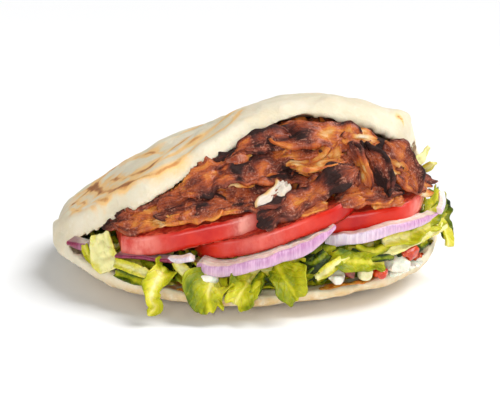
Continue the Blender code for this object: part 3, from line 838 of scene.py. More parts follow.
def tomato_finish():
    made = Finish("tomato_flesh_and_skin", Subsurface_Weight=0.05, Subsurface_Scale=0.002,
                  Specular_IOR_Level=0.22, Coat_Roughness=0.16)
    place = made.place
    skin, gel, pale = made.stored("skin"), made.stored("gel"), made.stored("pale")
    cloud = place.stretch(1, 1, 0.5).noise(11, 3).step(0.3, 0.7)
    red = cloud.mix(tint(186, 14, 9), tint(212, 42, 18))
    red = (place.noise(2.4, 3).step(0.4, 0.8) * 0.15).mix(red, tint(230, 70, 44))
    red = (place.noise(24, 2, 0.6).step(0.52, 0.7) * 0.25).mix(red, tint(226, 84, 66))
    # Painted highlight: the skin is washed towards pale pink where the stored highlight number is
    # high
    washed = pale * place.stretch(1, 1, 0.6).noise(5, 4, 0.6).step(0.2, 0.65) * 1.6
    red = washed.mix(red, tint(244, 160, 144))
    wall = place.noise(1.7, 4, 0.6).step(0.3, 0.72).mix(tint(178, 26, 18), tint(224, 92, 62))
    jelly = place.noise(3, 2).step(0.3, 0.7).mix(tint(160, 26, 10), tint(206, 74, 26))
    colour = skin.mix(gel.mix(wall, jelly), red)
    relief = place.noise(1.2, 3) * (1 - skin) + place.noise(7, 1) * skin
    return made.wire(Base_Color=colour, Roughness=0.36 - skin * 0.1 - gel * 0.12,
                     Coat_Weight=skin * 0.28 + gel * 0.4,
                     Normal=relief.bump(0.22, 0.7))


def outline_share(key, x, y):
    """How far out a place is on a slice, 1 at its edge."""
    middle, radius = TOMATOES[key][:2]
    across, back = np.abs(x - middle[0]) / radius, np.abs(y - middle[1]) / radius
    return (across ** TOMATO_SQUARENESS + back ** TOMATO_SQUARENESS) ** (1 / TOMATO_SQUARENESS)


def slice_height(key, x, y):
    middle, _, slopes = TOMATOES[key][:3]
    return middle[2] + slopes[0] * (x - middle[0]) + slopes[1] * (y - middle[1])


def tomato_slice(key, above):
    """A slice, from the middle of its top round to the middle of its underside.

    Where it lies under the slice above, it is pressed down.
    """
    middle, radius, _, thickness, cut = TOMATOES[key]
    turn = np.linspace(0, 2 * math.pi, 181)[:-1]
    c, s = np.cos(turn), np.sin(turn)
    square = np.abs(c) ** TOMATO_SQUARENESS + np.abs(s) ** TOMATO_SQUARENESS
    edge = radius / square ** (1 / TOMATO_SQUARENESS) * (1 + 0.008 * np.cos(7 * turn + radius))
    sliced = np.zeros_like(turn)
    if cut:
        straight = cut[1] / np.maximum(np.cos(turn - math.radians(cut[0])), 1e-3)
        sliced = ease((edge - straight) * 2)
        edge = np.minimum(edge, straight)
    shares = np.concatenate([np.linspace(0.03, 0.95, 34), [0.97, 0.985]])
    levels = np.cos(np.linspace(0, math.pi, 13))
    rows = [(share * edge, 1.0, share) for share in shares]
    rows += [(edge - SKIN_BULGE * abs(level) ** 5, level, 1.0) for level in levels]
    rows += [(share * edge, -1.0, share) for share in shares[::-1]]
    out = np.array([row[0] for row in rows])
    level, share = (np.array([row[i] for row in rows])[:, None] + 0 * out for i in (1, 2))
    around = turn[None, :] + 0 * out
    between = (around * CHAMBERS / (2 * math.pi) + 0.25 * radius) % 1 - 0.5
    wall = out * np.abs(np.sin((0.5 - np.abs(between)) * 2 * math.pi / CHAMBERS))
    gel = ease((0.80 - share) / 0.05) * ease((share - 0.24) / 0.06)
    gel = gel * ease((wall - 1.2 - 1.4 * share) / 1.2) * (np.abs(level) > 0.99)
    skin = ease((0.97 - np.abs(level)) * 8) * (share > 0.99) * (1 - sliced)
    x, y = middle[0] + out * np.cos(around), out * np.sin(around)
    y = middle[1] + np.where(y > 0, y * min(1.0, (TOMATO_BACK - middle[1]) / radius), y)
    z = slice_height(key, x, y) + 0.5 * rough(stack(x, y, 0), 21, 3)
    fine = 0.25 * rough(stack(x, y, level * 9), 2.2, 5, 2) * (1 - skin)
    z = z + level * (thickness / 2 + fine - 0.9 * gel)
    if above:
        most = slice_height(above, x, y) - TOMATOES[above][3] / 2 - 0.4
        z = z - ease((1 - outline_share(above, x, y)) * 14) * np.maximum(z - most, 0)
    pile = Pile()
    # The skin's painted highlights are stored with it, as bands along x
    pile.add(*lofted(stack(x, y, z)), skin=with_hubs(skin), gel=with_hubs(gel),
             pale=with_hubs(bands(x, PALE[key])))
    return pile


def seed_shape():
    """One flat tomato seed, blunt at one end."""
    turn = np.linspace(0, 2 * math.pi, 9)[:-1]
    rings = []
    for level in (0.95, 0.5, -0.5, -0.95):
        out = math.sqrt(1 - level * level)
        blunt = 1 + 0.25 * np.cos(turn)
        long, wide, thick = SEED_HALF_SIZES
        rings.append(stack(long * out * np.cos(turn) * blunt, wide * out * np.sin(turn),
                           thick * level))
    pile = Pile()
    pile.add(*lofted(np.array(rings)))
    return pile


def tomatoes():
    finish = tomato_finish()
    pips = Finish("tomato_seeds", Roughness=0.25, Coat_Weight=0.5)
    straw = pips.place.noise(1.5, 2).mix(tint(206, 140, 70), tint(232, 190, 120))
    pips.wire(Base_Color=straw)
    above = None
    for index, key in enumerate(TOMATOES):
        pile = tomato_slice(key, above)
        above = key
        thing = pile.build("tomato_" + key, finish, "tomato", "tomato_slice_" + key)
        layer = thing.data.attributes["gel"]
        gel = np.empty(len(layer.data), np.float32)
        layer.data.foreach_get("value", gel)
        seeds = strewn(f"tomato_seeds_{key}", thing, ease((gel - 0.7) * 5), [seed_shape()],
                       pips.material, 2.6, 5, (0.7, 1.0), 40 + index, 0.3)
        keep(seeds, "tomato")


# ------------------------------------------------------------------ onion

# Pieces: places along the foot of the outer skin, height at both ends, how far the cut face
# tips forward at both ends, layers, and how purple the skin is at both ends
ONIONS = {
    "arc_front": (((-23, -65, 17.5), (-13, -69.5, 18), (-5, -72, 20), (5, -73, 23),
                   (14, -72, 25.5), (22, -70, 28), (29, -67, 32.5), (33.6, -64.4, 36.6)),
                  (5.2, 6.2), (0.16, 0.0), 3, (0.7, 1.05)),
    "arc_right": (((30, -55.5, 25), (36, -58, 27), (44, -59.5, 29), (52, -59, 31.3),
                   (59, -56.5, 32.6), (66, -52, 32.5), (73, -45, 32.8), (77.5, -37, 34.5)),
                  (6.4, 3.4), (0.0, 0.1), 2, (0.1, 0.95)),
    "loop_right": (((79.2, -38, 35), (81.4, -33, 36.6), (81.4, -27, 39.6)), (2.8, 4.2),
                   (0.2, 0.2), 1, (0.3, 0.0)),
    "fold_left": (((-35, -63, 22.4), (-29, -66.4, 23), (-24, -67.6, 24.4)), (2.0, 2.8),
                  (0.35, 0.3), 1, (0.0, 0.0)),
    "strip_left": (((-57, -54, 21), (-50, -58, 22), (-44, -60, 22.2), (-37, -63, 22.5),
                    (-31, -65, 22.7)), (1.6, 1.8), (0.1, 0.1), 2, (1.5, 1.5)),
    "tip_left": (((-79, -34, 20.2), (-75, -37, 19.8), (-70, -41, 19.4)), (2.4, 4.2), (0.2, 0.2),
                 2, (1.6, 1.25)),
}
LAYER = 2.45  # thickness of one onion layer
LAYER_GAP = 0.05
RING_HEIGHT = 5.0
SHARP = math.radians(50)  # a steeper edge between two faces stays sharp


def onion_finish():
    made = Finish("red_onion", Subsurface_Weight=0.2, Subsurface_Scale=0.002,
                  Coat_Weight=0.3, Coat_Roughness=0.12)
    place = made.place
    outer, blush, rise = made.stored("outer"), made.stored("blush"), made.stored("rise")
    stripe = place.stretch(1, 1, 0.05).noise(0.9, 4, 0.65).step(0.3, 0.72)
    lilac = stripe.mix(tint(178, 116, 164), tint(216, 172, 204))
    white = stripe.mix(tint(206, 190, 206), tint(240, 232, 236))
    face = blush.step(0.0, 1.0).mix(white, lilac)
    face = (rise.step(0.7, 0.2) * 0.35).mix(face, tint(232, 206, 222))
    deep = stripe.mix(tint(104, 16, 46), tint(150, 46, 84))
    face = blush.step(1.05, 1.4).mix(face, deep)
    cut = place.noise(2, 3).step(0.3, 0.7).mix(tint(226, 204, 190), tint(242, 228, 214))
    cut = (blush.step(1.1, 1.4) * 0.75).mix(cut, tint(140, 52, 84))
    rim = outer * blush.step(0.5, 1.0) * rise.step(0.88, 1.0) * 0.35
    colour = rim.mix(outer.mix(cut, face), tint(150, 70, 116))
    relief = stripe * 0.6 + place.noise(3, 2)
    return made.wire(Base_Color=colour, Roughness=place.noise(6, 2) * 0.15 + 0.24,
                     Normal=relief.bump(0.2, 0.6))


def onion_tree(layers, finish):
    """Geometry Nodes that sweep an onion ring's layers along a path, one inside the next."""
    tree, given = new_tree("onion_layers", Path="Geometry", Layer="Float", Gap="Float",
                           Height="Float")
    base = Field(tree)
    outline = base.node("GeometryNodeCurvePrimitiveQuadrilateral", Width=given["Layer"],
                        Height=given["Height"])
    corner = base.node("GeometryNodeFilletCurve", {"mode": "POLY"}, Curve=outline, Count=3,
                       Radius=given["Layer"] * 0.12)
    outline = base.node("GeometryNodeResampleCurve", Curve=corner, Count=36)
    run = base.node("GeometryNodeInputTangent")
    inward = base.node("ShaderNodeVectorMath", {"operation": "CROSS_PRODUCT"}, _0=(0, 0, 1),
                       _1=run)
    joined = tree.nodes.new("GeometryNodeJoinGeometry")
    for layer in range(layers):
        depth = (given["Layer"] + given["Gap"]) * layer + given["Layer"] * 0.5
        shift = base.node("ShaderNodeVectorMath", {"operation": "SCALE"}, _0=inward, Scale=depth)
        path = base.node("GeometryNodeSetPosition", Geometry=given["Path"], Offset=shift)
        swept = base.node("GeometryNodeCurveToMesh", Curve=path, Profile_Curve=outline,
                          Fill_Caps=True)
        tree.links.new(swept.socket, joined.inputs[0])
    end_tree(tree, Field(tree, joined.outputs[0]), finish)
    return tree


def swept_ring(name, level, layers, finish):
    """Onion layers swept along a level path, as an object with a plain mesh."""
    line = bpy.data.curves.new(name, "CURVE")
    line.dimensions = "3D"
    spline = line.splines.new("POLY")
    spline.points.add(len(level) - 1)
    placed = np.column_stack([(level + SHIFT) * MM, np.ones(len(level))])
    spline.points.foreach_set("co", placed.astype(np.float32).ravel())
    path = add_object(name, line)
    use_tree(path, onion_tree(layers, finish), Layer=LAYER * MM, Gap=LAYER_GAP * MM,
             Height=RING_HEIGHT * MM)
    mesh = evaluated_mesh(path)
    bpy.data.objects.remove(path)
    return add_object(name, mesh)


def onion(key, finish):
    """A piece of onion: its layers swept level, then raised, tipped and roughened."""
    stops, heights, tips, layers, blush = ONIONS[key]
    foot = curve_through(stops, 120)
    level = foot * (1, 1, 0)
    thing = swept_ring("onion_" + key, level, layers, finish)
    mesh = thing.data
    points = read_points(mesh)
    run = unit(np.gradient(level, axis=0))
    away = np.linalg.norm(points[:, None, :2] - level[None, :, :2], axis=2)
    near = away.argmin(axis=1)
    inward = stack(-run[:, 1], run[:, 0], 0)[near]
    depth = np.sum((points - level[near]) * inward, axis=1)
    along = near / (len(level) - 1)
    rise = points[:, 2] / RING_HEIGHT + 0.5
    height = heights[0] + (heights[1] - heights[0]) * along
    height = height * (0.9 + 0.1 * rough(foot[near], 5, 60)) * (1 - 0.6 * ease((along - 0.82) * 6))
    tip = tips[0] + (tips[1] - tips[0]) * ease(along * 1.1)
    store(mesh, "outer", ease(1.1 - depth / 0.4))
    store(mesh, "blush", blush[0] + (blush[1] - blush[0]) * ease(along * 1.2) - 0.06 * depth)
    store(mesh, "rise", rise)
    points[:, 2] = foot[near][:, 2] + height * rise + tip * depth * rise
    points[:, 2] += 0.5 * rough(points, 12, 61) + 0.12 * rough(points, 2.5, 63)
    points += inward * (0.5 * rough(foot[near], 6, 64) - 0.5 * np.sin(math.pi * rise))[:, None]
    write_points(mesh, points)
    mesh.shade_smooth()
    mesh.set_sharp_from_angle(angle=SHARP)
    keep(thing, "onion", *(name for name in frame["nodes"] if name == "onion_" + key))


def onions():
    finish = onion_finish()
    for key in ONIONS:
        onion(key, finish)


# ------------------------------------------------------------------ meat

# Slices that have a node: both ends, width, turn, waviness, roast, curl, thickness
MEAT = {
    "low_left": ((-56.5, -48.5, 35.5), (-12, -60, 46), 13, 40, 1.6, 0.46, 0.9, 3.4),
    "long_left": ((-38, -55, 43), (10, -60, 51), 13, 45, 1.8, 0.50, 1.0, 3.4),
    "upper_left": ((-30, -52.5, 51.5), (17, -46, 65), 15, 50, 2.0, 0.66, 1.2, 3.6),
    "diagonal": ((3, -67, 40), (41, -54, 58.5), 10.5, 50, 1.4, 0.68, 1.2, 3.6),
    "top": ((11, -46, 71), (46, -45, 70), 12.5, 35, 1.8, 0.54, 1.0, 3.8),
    "golden": ((15, -53, 60), (39, -51, 63.5), 9, 20, 1.4, 0.44, 1.2, 3.2),
    "right": ((46, -49, 68.5), (55, -54, 49), 13, 80, 1.8, 0.84, 1.0, 3.6),
    "end": ((55, -43, 66), (66.5, -44, 47), 15, 80, 1.8, 0.68, 0.8, 3.6),
    "lower_right": ((36, -57, 48.5), (58, -54, 49.5), 10.5, 60, 1.6, 0.44, 1.0, 3.4),
}
# Slices that lie between them, in the same order of sizes
BETWEEN = (
    ((-52, -45, 41), (-26, -50, 50), 11, 60, 1.6, 0.62, 1.0, 3.2),
    ((-34, -54, 40), (-12, -57, 46.5), 8, 20, 1.4, 0.24, 1.2, 2.8),
    ((-15, -48, 58), (7, -44, 67), 11, 60, 1.8, 0.78, 1.2, 3.4),
    ((-8, -49, 62), (-2, -46.5, 64.5), 8, 10, 0.6, 0.30, 2.0, 5.0),
    ((0, -53, 55), (23, -52, 57), 11, 30, 1.6, 0.72, 1.0, 3.2),
    ((4, -63, 46), (14, -58, 55.5), 7, 55, 0.8, -0.34, 1.0, 3.4),
    ((-61, -45, 32.5), (-50, -48, 36), 7, 40, 1.2, 0.78, 1.0, 3.0),
    ((22, -48, 66), (44, -46, 62), 11, 50, 1.8, 0.40, 1.2, 3.2),
    ((34, -51, 65), (41, -53, 52), 9, 75, 1.4, 0.40, 1.2, 3.2),
    ((41, -50, 67), (46, -54, 53), 9, 80, 1.6, 0.42, 1.2, 3.4),
    ((47, -43.5, 70), (65, -37, 57), 6.5, 60, 1.2, 0.95, 1.0, 3.0),
    ((37, -46, 70), (49, -44, 69), 8, 40, 1.4, 0.42, 1.0, 3.0),
    ((66, -38, 51), (75, -32, 49), 5, 40, 1.0, 0.34, 1.0, 2.6),
    ((64, -41, 50), (74, -35, 46), 7, 60, 1.2, 0.42, 1.0, 3.0),
    ((19, -62, 43), (30, -60, 47), 7, 50, 1.0, 0.36, 1.2, 3.0),
    ((36, -58, 46.5), (45, -57, 49), 6, 50, 1.0, 0.20, 1.0, 2.8),
    ((60, -46, 56), (70, -41, 49), 9, 70, 1.4, 0.56, 1.0, 3.2),
    ((-16, -52, 52), (8, -50, 58), 10, 40, 1.6, 0.34, 1.0, 3.2),
    ((18, -58, 50), (36, -54, 55), 9, 60, 1.4, 0.66, 1.0, 3.2),
    ((-4, -46.5, 65), (14, -45.5, 70.5), 9, 50, 1.4, 0.66, 1.0, 3.4),
    ((14, -49, 65), (34, -46, 70), 10, 45, 1.4, 0.46, 1.0, 3.2),
    ((48, -54, 46), (60, -52, 46), 7, 55, 1.0, 0.26, 1.0, 2.6),
    ((52, -47, 62), (62, -46, 56), 9, 60, 1.4, 0.44, 1.0, 3.2),
)
SCRAPS_END = 44.0  # no loose scraps beyond this x, where the upper bread comes down
MEAT_VOXEL = 1.5
# Colours from pale fat to charred
ROASTS = (
    (0.0, tint(240, 226, 208)), (0.08, tint(234, 196, 138)), (0.2, tint(222, 146, 60)),
    (0.34, tint(206, 112, 44)), (0.5, tint(178, 82, 36)), (0.68, tint(134, 56, 30)),
    (0.86, tint(88, 34, 22)), (1.0, tint(44, 18, 12)),
)


def meat_finish():
    made = Finish("roast_meat", Subsurface_Weight=0.05, Subsurface_Scale=0.002,
                  Specular_IOR_Level=0.3, Coat_Roughness=0.14)
    grain = made.stored("grain", "Vector")
    roast = made.stored("roast")
    fibre = grain.stretch(0.22, 1, 1).noise(0.9, 4, 0.65, 0.6)
    strand = grain.stretch(0.14, 1, 1).noise(1.9, 2, 0.5, 0.5)
    ridge = 1 - ((strand - 0.5) * 9).math("ABSOLUTE").step(0.0, 0.55)
    speck = grain.noise(0.55, 3, 0.7)
    # Painted highlights: small pinkish-white glints strewn over the middle roasts
    fleck = grain.noise(0.85, 2, 0.7).step(0.52, 0.64) * grain.noise(7, 2).step(0.35, 0.6)
    level = roast + (fibre - 0.5) * 0.42 + (grain.noise(4.2, 4, 0.6) - 0.5) * 0.5 + ridge * 0.08
    level = (level + (speck - 0.5) * 0.22).math("MAXIMUM", roast * 0.5 + 0.08)
    colour = level.node("ShaderNodeValToRGB", {"stops": ROASTS}, Fac=level)
    # Painted glints, where the middle roasts show
    lit = fleck * level.step(0.3, 0.5) * (1 - level.step(0.88, 1.0)) * 0.55
    speckled = lit.mix(colour, tint(214, 148, 120))
    relief = fibre * 0.6 + speck * 1.0 - ridge * 0.25 + grain.noise(1.8, 3) * 0.6
    gloss = grain.noise(1.2, 3).step(0.35, 0.7) * 0.3 + 0.24 + level.step(0.7, 1.0) * 0.25
    return made.wire(Base_Color=speckled, Roughness=gloss,
                     Coat_Weight=(1 - level.step(0.6, 0.9)) * 0.24,
                     Normal=relief.bump(0.6, 1.0))


def meat_slice(start, end, width, turn, wave, roast, curl, thickness, seed, grain=0.55):
    """A torn, wavy slice: grid points, their half thickness, and numbers for its finish."""
    start, end = np.array(start, float), np.array(end, float)
    length = float(np.linalg.norm(end - start))
    run = (end - start) / length
    flat = unit(np.cross((0, 0, 1), run))
    up = np.cross(run, flat)
    tilt = math.radians(turn)
    side = flat * math.cos(tilt) + up * math.sin(tilt)
    out = np.cross(run, side)
    rows, columns = max(10, int(length / grain)), max(8, int(width / grain))
    u = np.linspace(0, 1, rows)[:, None] + np.zeros((1, columns))
    v = np.linspace(-1, 1, columns)[None, :] + np.zeros((rows, 1))
    key = seed * 41.3
    spot = stack(u * length, v * width / 2, key)
    edge = stack(u * length, np.sign(v) * 20, key)
    ends = stack(np.where(u > 0.5, 50, 0), v * width / 2, key)
    taper = (1 - np.abs(2 * u - 1) ** 6) ** 0.5 * 0.6 + 0.4
    taper = taper * (1 + 0.42 * rough(edge, 7.5, 1, 2) + 0.05 * rough(edge, 2.2, 2))
    far = np.abs(2 * u - 1) ** 5 * np.sign(u - 0.5)
    reach = u * length + far * (1.8 * rough(ends, 2.2, 3) + 2.2 * rough(ends, 5, 4) + 1)
    across = v * width / 2 * taper
    bend = wave * (1.2 * rough(spot, 13, 5) + 0.4 * rough(spot, 6, 6))
    bend = bend + curl * (np.abs(v) ** 2 - 0.4) * width * 0.13
    bend = bend + (u - 0.5) * v * width * 0.16 * rough(stack(key, 0, 0), 1, 7)
    middle = (start + run * reach[..., None] + side * across[..., None] + out * bend[..., None])
    plump = (0.3 + 0.7 * (1 - np.abs(v) ** 3)) * (0.35 + 0.65 * (1 - np.abs(2 * u - 1) ** 6))
    ridges = 1 - np.abs(rough(spot * (0.12, 1, 1), 2.2, 8, 2)) * 2.2
    fibre = 0.3 * ridges + 0.4 * rough(spot, 3.2, 9, 3)
    half = thickness / 2 * plump * (1 + 0.35 * rough(spot, 5, 10)) + fibre * (0.3 + 0.7 * plump)
    half = np.maximum(half, 0.25)
    shade = roast + 0.36 * rough(spot, 9, 11) + 0.18 * rough(spot, 3, 12) - 0.1 * ridges
    shade = shade + 0.04 + 0.2 * ease((v - 0.72) * 5) + 0.08 * np.abs(2 * u - 1) ** 8
    return middle, half, spot, shade


def scrap_shapes(count, length, width, thickness, seed, grain):
    """Small torn slices to strew, each a little different."""
    shapes = []
    for index in range(count):
        dice = np.random.default_rng(seed + index)
        long = length * dice.uniform(0.7, 1.25)
        pile = Pile()
        add_sheet(pile, "roast", meat_slice(
            (-long / 2, 0, 0), (long / 2, 0, 0), width * dice.uniform(0.7, 1.2), 0,
            dice.uniform(1.0, 2.2), dice.uniform(0.12, 0.72), dice.uniform(-1, 1.4), thickness,
            seed + index, grain))
        shapes.append(pile)
    return shapes


def meat(pocket, tree):
    finish = meat_finish()
    for seed, (key, slice_of) in enumerate(MEAT.items(), 3):
        pile = Pile()
        add_sheet(pile, "roast", meat_slice(*slice_of, seed), pocket)
        pile.build("meat_" + key, finish, "meat", "meat_slice_" + key)
    pile = Pile()
    for seed, slice_of in enumerate(BETWEEN, 60):
        add_sheet(pile, "roast", meat_slice(*slice_of, seed), pocket)
    pile.build("meat_between", finish, "meat")
    core = recast("meat_heap", MEAT_VOXEL, CORE_ROUNDS)
    core.name = "meat_core"
    points = read_points(core.data)
    seen = in_view(points, read_normals(core.data), tree) * (points[:, 0] < SCRAPS_END)
    scraps, crumbs = scrap_shapes(7, 17, 9, 2.8, 90, 0.8), scrap_shapes(5, 5, 3, 1.8, 120, 0.8)
    cover("meat_scraps", core, ease(seen * 5), scraps, finish, "meat", pocket, 0.5,
          spacing=5.5, number=4.0, sizes=(0.7, 1.2), seed=5, tilt=0.6, spin=1.4)
    cover("meat_crumbs", core, ease(seen * 5), crumbs, finish, "meat", pocket, 0.5,
          spacing=2.6, number=9.0, sizes=(0.6, 1.3), seed=6, tilt=0.9)
    # Painted shade: the core is given dark roast tones, mean 0.85, so that it shows as deep shade
    # in the gaps between the slices
    sink(core, pocket, 0.9, 1.6, 71, "roast", (0.85, 0.3, 6), finish, "meat", "meat_heap")


# ------------------------------------------------------------------ lettuce

# Leaves that have a node: path of the rib, width, facing, fold, curl, ruffle, tears, rib,
# green, and how wide the tip is beside the root
LEAVES = {
    "rib_left": (((-63.6, -44, 28.4), (-62.2, -48.5, 21.4), (-60, -53, 15)), 13,
                 (-0.25, -1, 0.2), 0.0, 0.5, 0.3, 0.3, 1.1, -0.12, 0.9),
    "strip_left": (((-57, -54, 18.8), (-50.7, -59, 18.8), (-42, -64, 16.6)),
                   6, (0.1, -1, 0.5), 0.1, 0.9, 0.9, 0.6, 0.5, 0.16, 0.9),
    "curl": (((-35.5, -63, 21), (-38.6, -70, 17.3), (-41, -74.5, 13), (-41, -76.5, 10),
              (-39.4, -77, 8), (-41.3, -77.3, 5.6)), 13, (0.1, -1, 0.5), 0.2, 0.7, 1.9, 1.0,
             0.4, 0.46, 0.45),
    "front_leaf": (((-15, -66, 17), (-17.6, -72.5, 13.4), (-17.2, -77.4, 7.0)),
                   18, (-0.1, -1, 0.5), 0.1, 0.6, 1.8, 1.1, 0.3, 0.48, 1.0),
    "centre_leaf": (((10.6, -66, 20.4), (14, -72.6, 17), (18, -76.2, 11)),
                    14, (0.1, -1, 0.45), 0.15, 0.6, 1.6, 1.1, 0.1, 0.58, 1.15),
    "dark_leaf": (((19.5, -61.5, 22.5), (25, -64.8, 22.6), (30.4, -61.6, 26)), 12,
                  (-0.2, -1, 0.5), 0.0, -1.2, 0.6, 0.4, 0.25, 1.1, 0.8),
    "right_leaf": (((31.5, -60.5, 22.5), (42, -61.5, 22), (55, -55.5, 19.6)), 10,
                   (0.1, -1, 0.6), 0.2, 0.5, 1.6, 0.9, 0.5, 0.5, 1.0),
    "long_rib": (((82, -22, 25), (75, -33, 25.6), (65.6, -45.6, 25.4), (52, -57.6, 23)),
                 5.5, (0.3, -1, 0.5), 0.2, 0.5, 0.6, 0.5, 1.5, 0.04, 0.8),
    "frill": (((78.6, -10, 37.6), (80.6, -14, 31), (82.4, -17.5, 25), (82.6, -19.5, 19)), 11,
              (0.9, -0.6, 0.3), 0.1, 0.8, 1.8, 1.2, 0.5, 0.72, 0.9),
}
# Leaves between them
MORE_LEAVES = (
    (((-70.6, -42, 23), (-69, -46, 19.5), (-66, -50, 17)), 4, (-0.3, -1, 0.4),
     0.0, 0.5, 0.6, 0.5, 0.3, 0.5, 0.9),
    (((65, -31, 56), (71, -26.5, 56.5), (75, -22, 60.5)), 5.5, (0.2, -1, 0.3),
     0.1, 0.5, 0.8, 1.2, 0.2, 0.04, 0.5),
    (((-57, -57, 15.6), (-49, -62, 14.6), (-43, -65.5, 13.6)), 5, (0.1, -1, 0.6),
     0.0, 0.6, 0.7, 0.6, 0.3, 0.7, 0.9),
    (((-32, -63, 22.3), (-28, -66.4, 19.6), (-24, -69, 16.4)), 5.5, (0.2, -1, 0.6),
     0.1, 0.5, 0.6, 0.6, 0.7, 0.1, 0.7),
    (((0, -66, 17), (-3.6, -72.6, 14.4), (-7.6, -76.8, 8.6)), 16.5, (0.2, -1, 0.5),
     0.15, 0.5, 1.8, 1.1, 0.3, 0.42, 0.9),
    (((4, -66, 18), (2, -70.5, 15.6), (0, -74, 12.4)), 7, (0.0, -1, 0.5),
     0.1, -0.6, 1.0, 0.8, 0.4, 0.84, 0.8),
    (((26, -65.6, 16.4), (31.7, -65, 20.2), (38.6, -60.6, 24)), 4.8, (0.0, -1, 0.5),
     0.1, 0.6, 0.5, 0.4, 0.9, 0.12, 0.9),
    (((42.6, -56.6, 27.4), (49.3, -58.2, 25.2), (57, -53, 27.2)), 5.4, (0.0, -1, 0.6),
     0.0, -1.1, 0.6, 0.4, 0.3, 0.42, 0.9),
    (((42, -57, 24.6), (50, -58.6, 22.4), (58.4, -54.6, 21.8)), 4.0, (0.0, -1, 0.5),
     0.0, 0.1, 1.2, 1.0, 0.1, 1.0, 0.6),
    (((55, -53, 28), (64, -47, 28.4), (72, -38.6, 30)), 9.5, (0.4, -1, 0.5),
     0.2, 0.8, 1.6, 0.9, 0.8, 0.3, 0.9),
    (((66, -44, 27.6), (75, -32, 28.4), (82.4, -21, 28)), 8.5, (0.6, -1, 0.5),
     0.1, 0.7, 1.5, 0.9, 0.5, 0.46, 0.8),
    (((75, -29, 31), (79.6, -20, 31.6), (82, -11, 32)), 8, (0.8, -0.7, 0.4),
     0.1, 0.7, 1.6, 1.0, 0.6, 0.36, 0.9),
    (((80, -16, 26), (83, -20, 21.4), (83.5, -22, 17)), 7, (0.9, -0.6, 0.2),
     0.1, 0.6, 1.3, 1.0, 0.5, 0.3, 0.9),
    (((60, -50.6, 22.4), (67, -42.6, 21.8), (74, -33, 21.4)), 6, (0.4, -1, 0.5),
     0.0, 0.6, 1.0, 0.8, 0.2, 0.9, 0.9),
    (((72, -32, 30), (77.6, -25, 35), (80, -16, 40)), 10, (0.5, -1, 0.3),
     0.1, 0.5, 1.3, 0.9, 0.5, 0.46, 0.9),
)


LEAF_ROOM = 0.3  # between a leaf and the bread
LETTUCE_VOXEL = 1.6
VEIN_GAP = 4.2  # between two side veins
# Colours from a rib to the darkest leaf
GREENS = (
    (0.0, tint(236, 228, 160)), (0.2, tint(220, 210, 84)), (0.42, tint(192, 188, 24)),
    (0.64, tint(146, 152, 12)), (0.84, tint(86, 106, 14)), (1.0, tint(34, 48, 14)),
)


def lettuce_finish():
    made = Finish("lettuce_leaf", Subsurface_Weight=0.12, Subsurface_Scale=0.002,
                  Specular_IOR_Level=0.22, Coat_Weight=0.06, Coat_Roughness=0.15)
    grain, green = made.stored("grain", "Vector"), made.stored("green")
    parts = grain.node("ShaderNodeSeparateXYZ", Vector=grain)
    along = parts * (1 / MM)
    across = Field(made.tree, parts.socket.node.outputs["Y"]).math("ABSOLUTE") * (1 / MM)
    bent = along - across * 1.2 + grain.noise(3, 2) * 2.4
    vein = (1 - (bent * (math.pi / VEIN_GAP)).math("SINE").math("ABSOLUTE")) ** 5
    midrib = 1 - across.step(0.3, 1.5)
    line = vein.math("MAXIMUM", midrib) * green.step(-0.1, 0.4)
    level = green + (grain.noise(4.5, 3) - 0.5) * 0.5 - line * 0.16
    level = level + (grain.noise(1.2, 3) - 0.5) * 0.2
    colour = level.node("ShaderNodeValToRGB", {"stops": GREENS}, Fac=level)
    stria = grain.stretch(0.15, 1, 1).noise(0.8, 2) * 0.5
    relief = (1 - line) * 0.8 + grain.noise(1.3, 4, 0.6) + stria
    return made.wire(Base_Color=colour, Roughness=grain.noise(5, 2) * 0.25 + 0.26,
                     Normal=relief.bump(0.5, 0.8))


def leaf(path, width, facing, fold, curl, ruffle, tears, rib, green, tip, seed, grain=0.5):
    """A torn piece of leaf along its rib: grid points, half thickness and its numbers."""
    steps = np.diff(np.array(path, float), axis=0)
    rows = max(10, int(sum(np.linalg.norm(steps, axis=1)) / grain))
    spine = curve_through(path, rows)
    columns = max(9, int(width / grain) // 2 * 2 + 1)
    run = unit(np.gradient(spine, axis=0))
    side = unit(np.cross(np.broadcast_to(np.array(facing, float), run.shape), run))
    out = np.cross(run, side)
    long = np.concatenate([[0], np.cumsum(np.linalg.norm(np.diff(spine, axis=0), axis=1))])
    u = (long / long[-1])[:, None] + np.zeros((1, columns))
    v = np.linspace(-1, 1, columns)[None, :] + np.zeros((rows, 1))
    key = seed * 23.7
    edge = stack(u * long[-1], np.sign(v) * 30, key)
    shape = np.sin(math.pi * (0.16 + 0.68 * u)) ** 0.6 * (1 + (tip - 1) * u)
    shape = shape * (1 + tears * (0.3 * rough(edge, 6, 1) + 0.12 * rough(edge, 2.2, 2)))
    across = v * width / 2 * shape
    spot = stack(u * long[-1], across, key)
    turn = curl * v + 1e-6
    flat = across * np.sin(turn) / turn
    lift = across * (1 - np.cos(turn)) / turn + fold * np.abs(across)
    frill = np.abs(v) ** 1.4
    lift = lift + ruffle * frill * (rough(spot, 5.5, 3) + 0.7 * np.sin(u * long[-1] / 2.1 + key))
    lift = lift + 0.6 * rough(spot, 2.6, 4, 2) + 0.6 * ruffle * rough(spot, 9, 5)
    ends = stack(np.where(u > 0.5, 70, 0), across, key)
    push = tears * np.abs(2 * u - 1) ** 6 * np.sign(u - 0.5) * (1.3 * rough(ends, 3.4, 6, 2) + 0.5)
    middle = (spine[:, None] + run[:, None] * push[..., None] + side[:, None] * flat[..., None]
              + out[:, None] * lift[..., None])
    half = 0.26 + rib * 0.8 * np.exp(-(across / (0.9 + 0.5 * rib)) ** 2) * (1 - 0.5 * u)
    tone = green + 0.16 * frill + 0.22 * rough(spot, 7, 7) - rib * 0.3 * np.exp(-(across / 2) ** 2)
    return middle, half, spot, tone


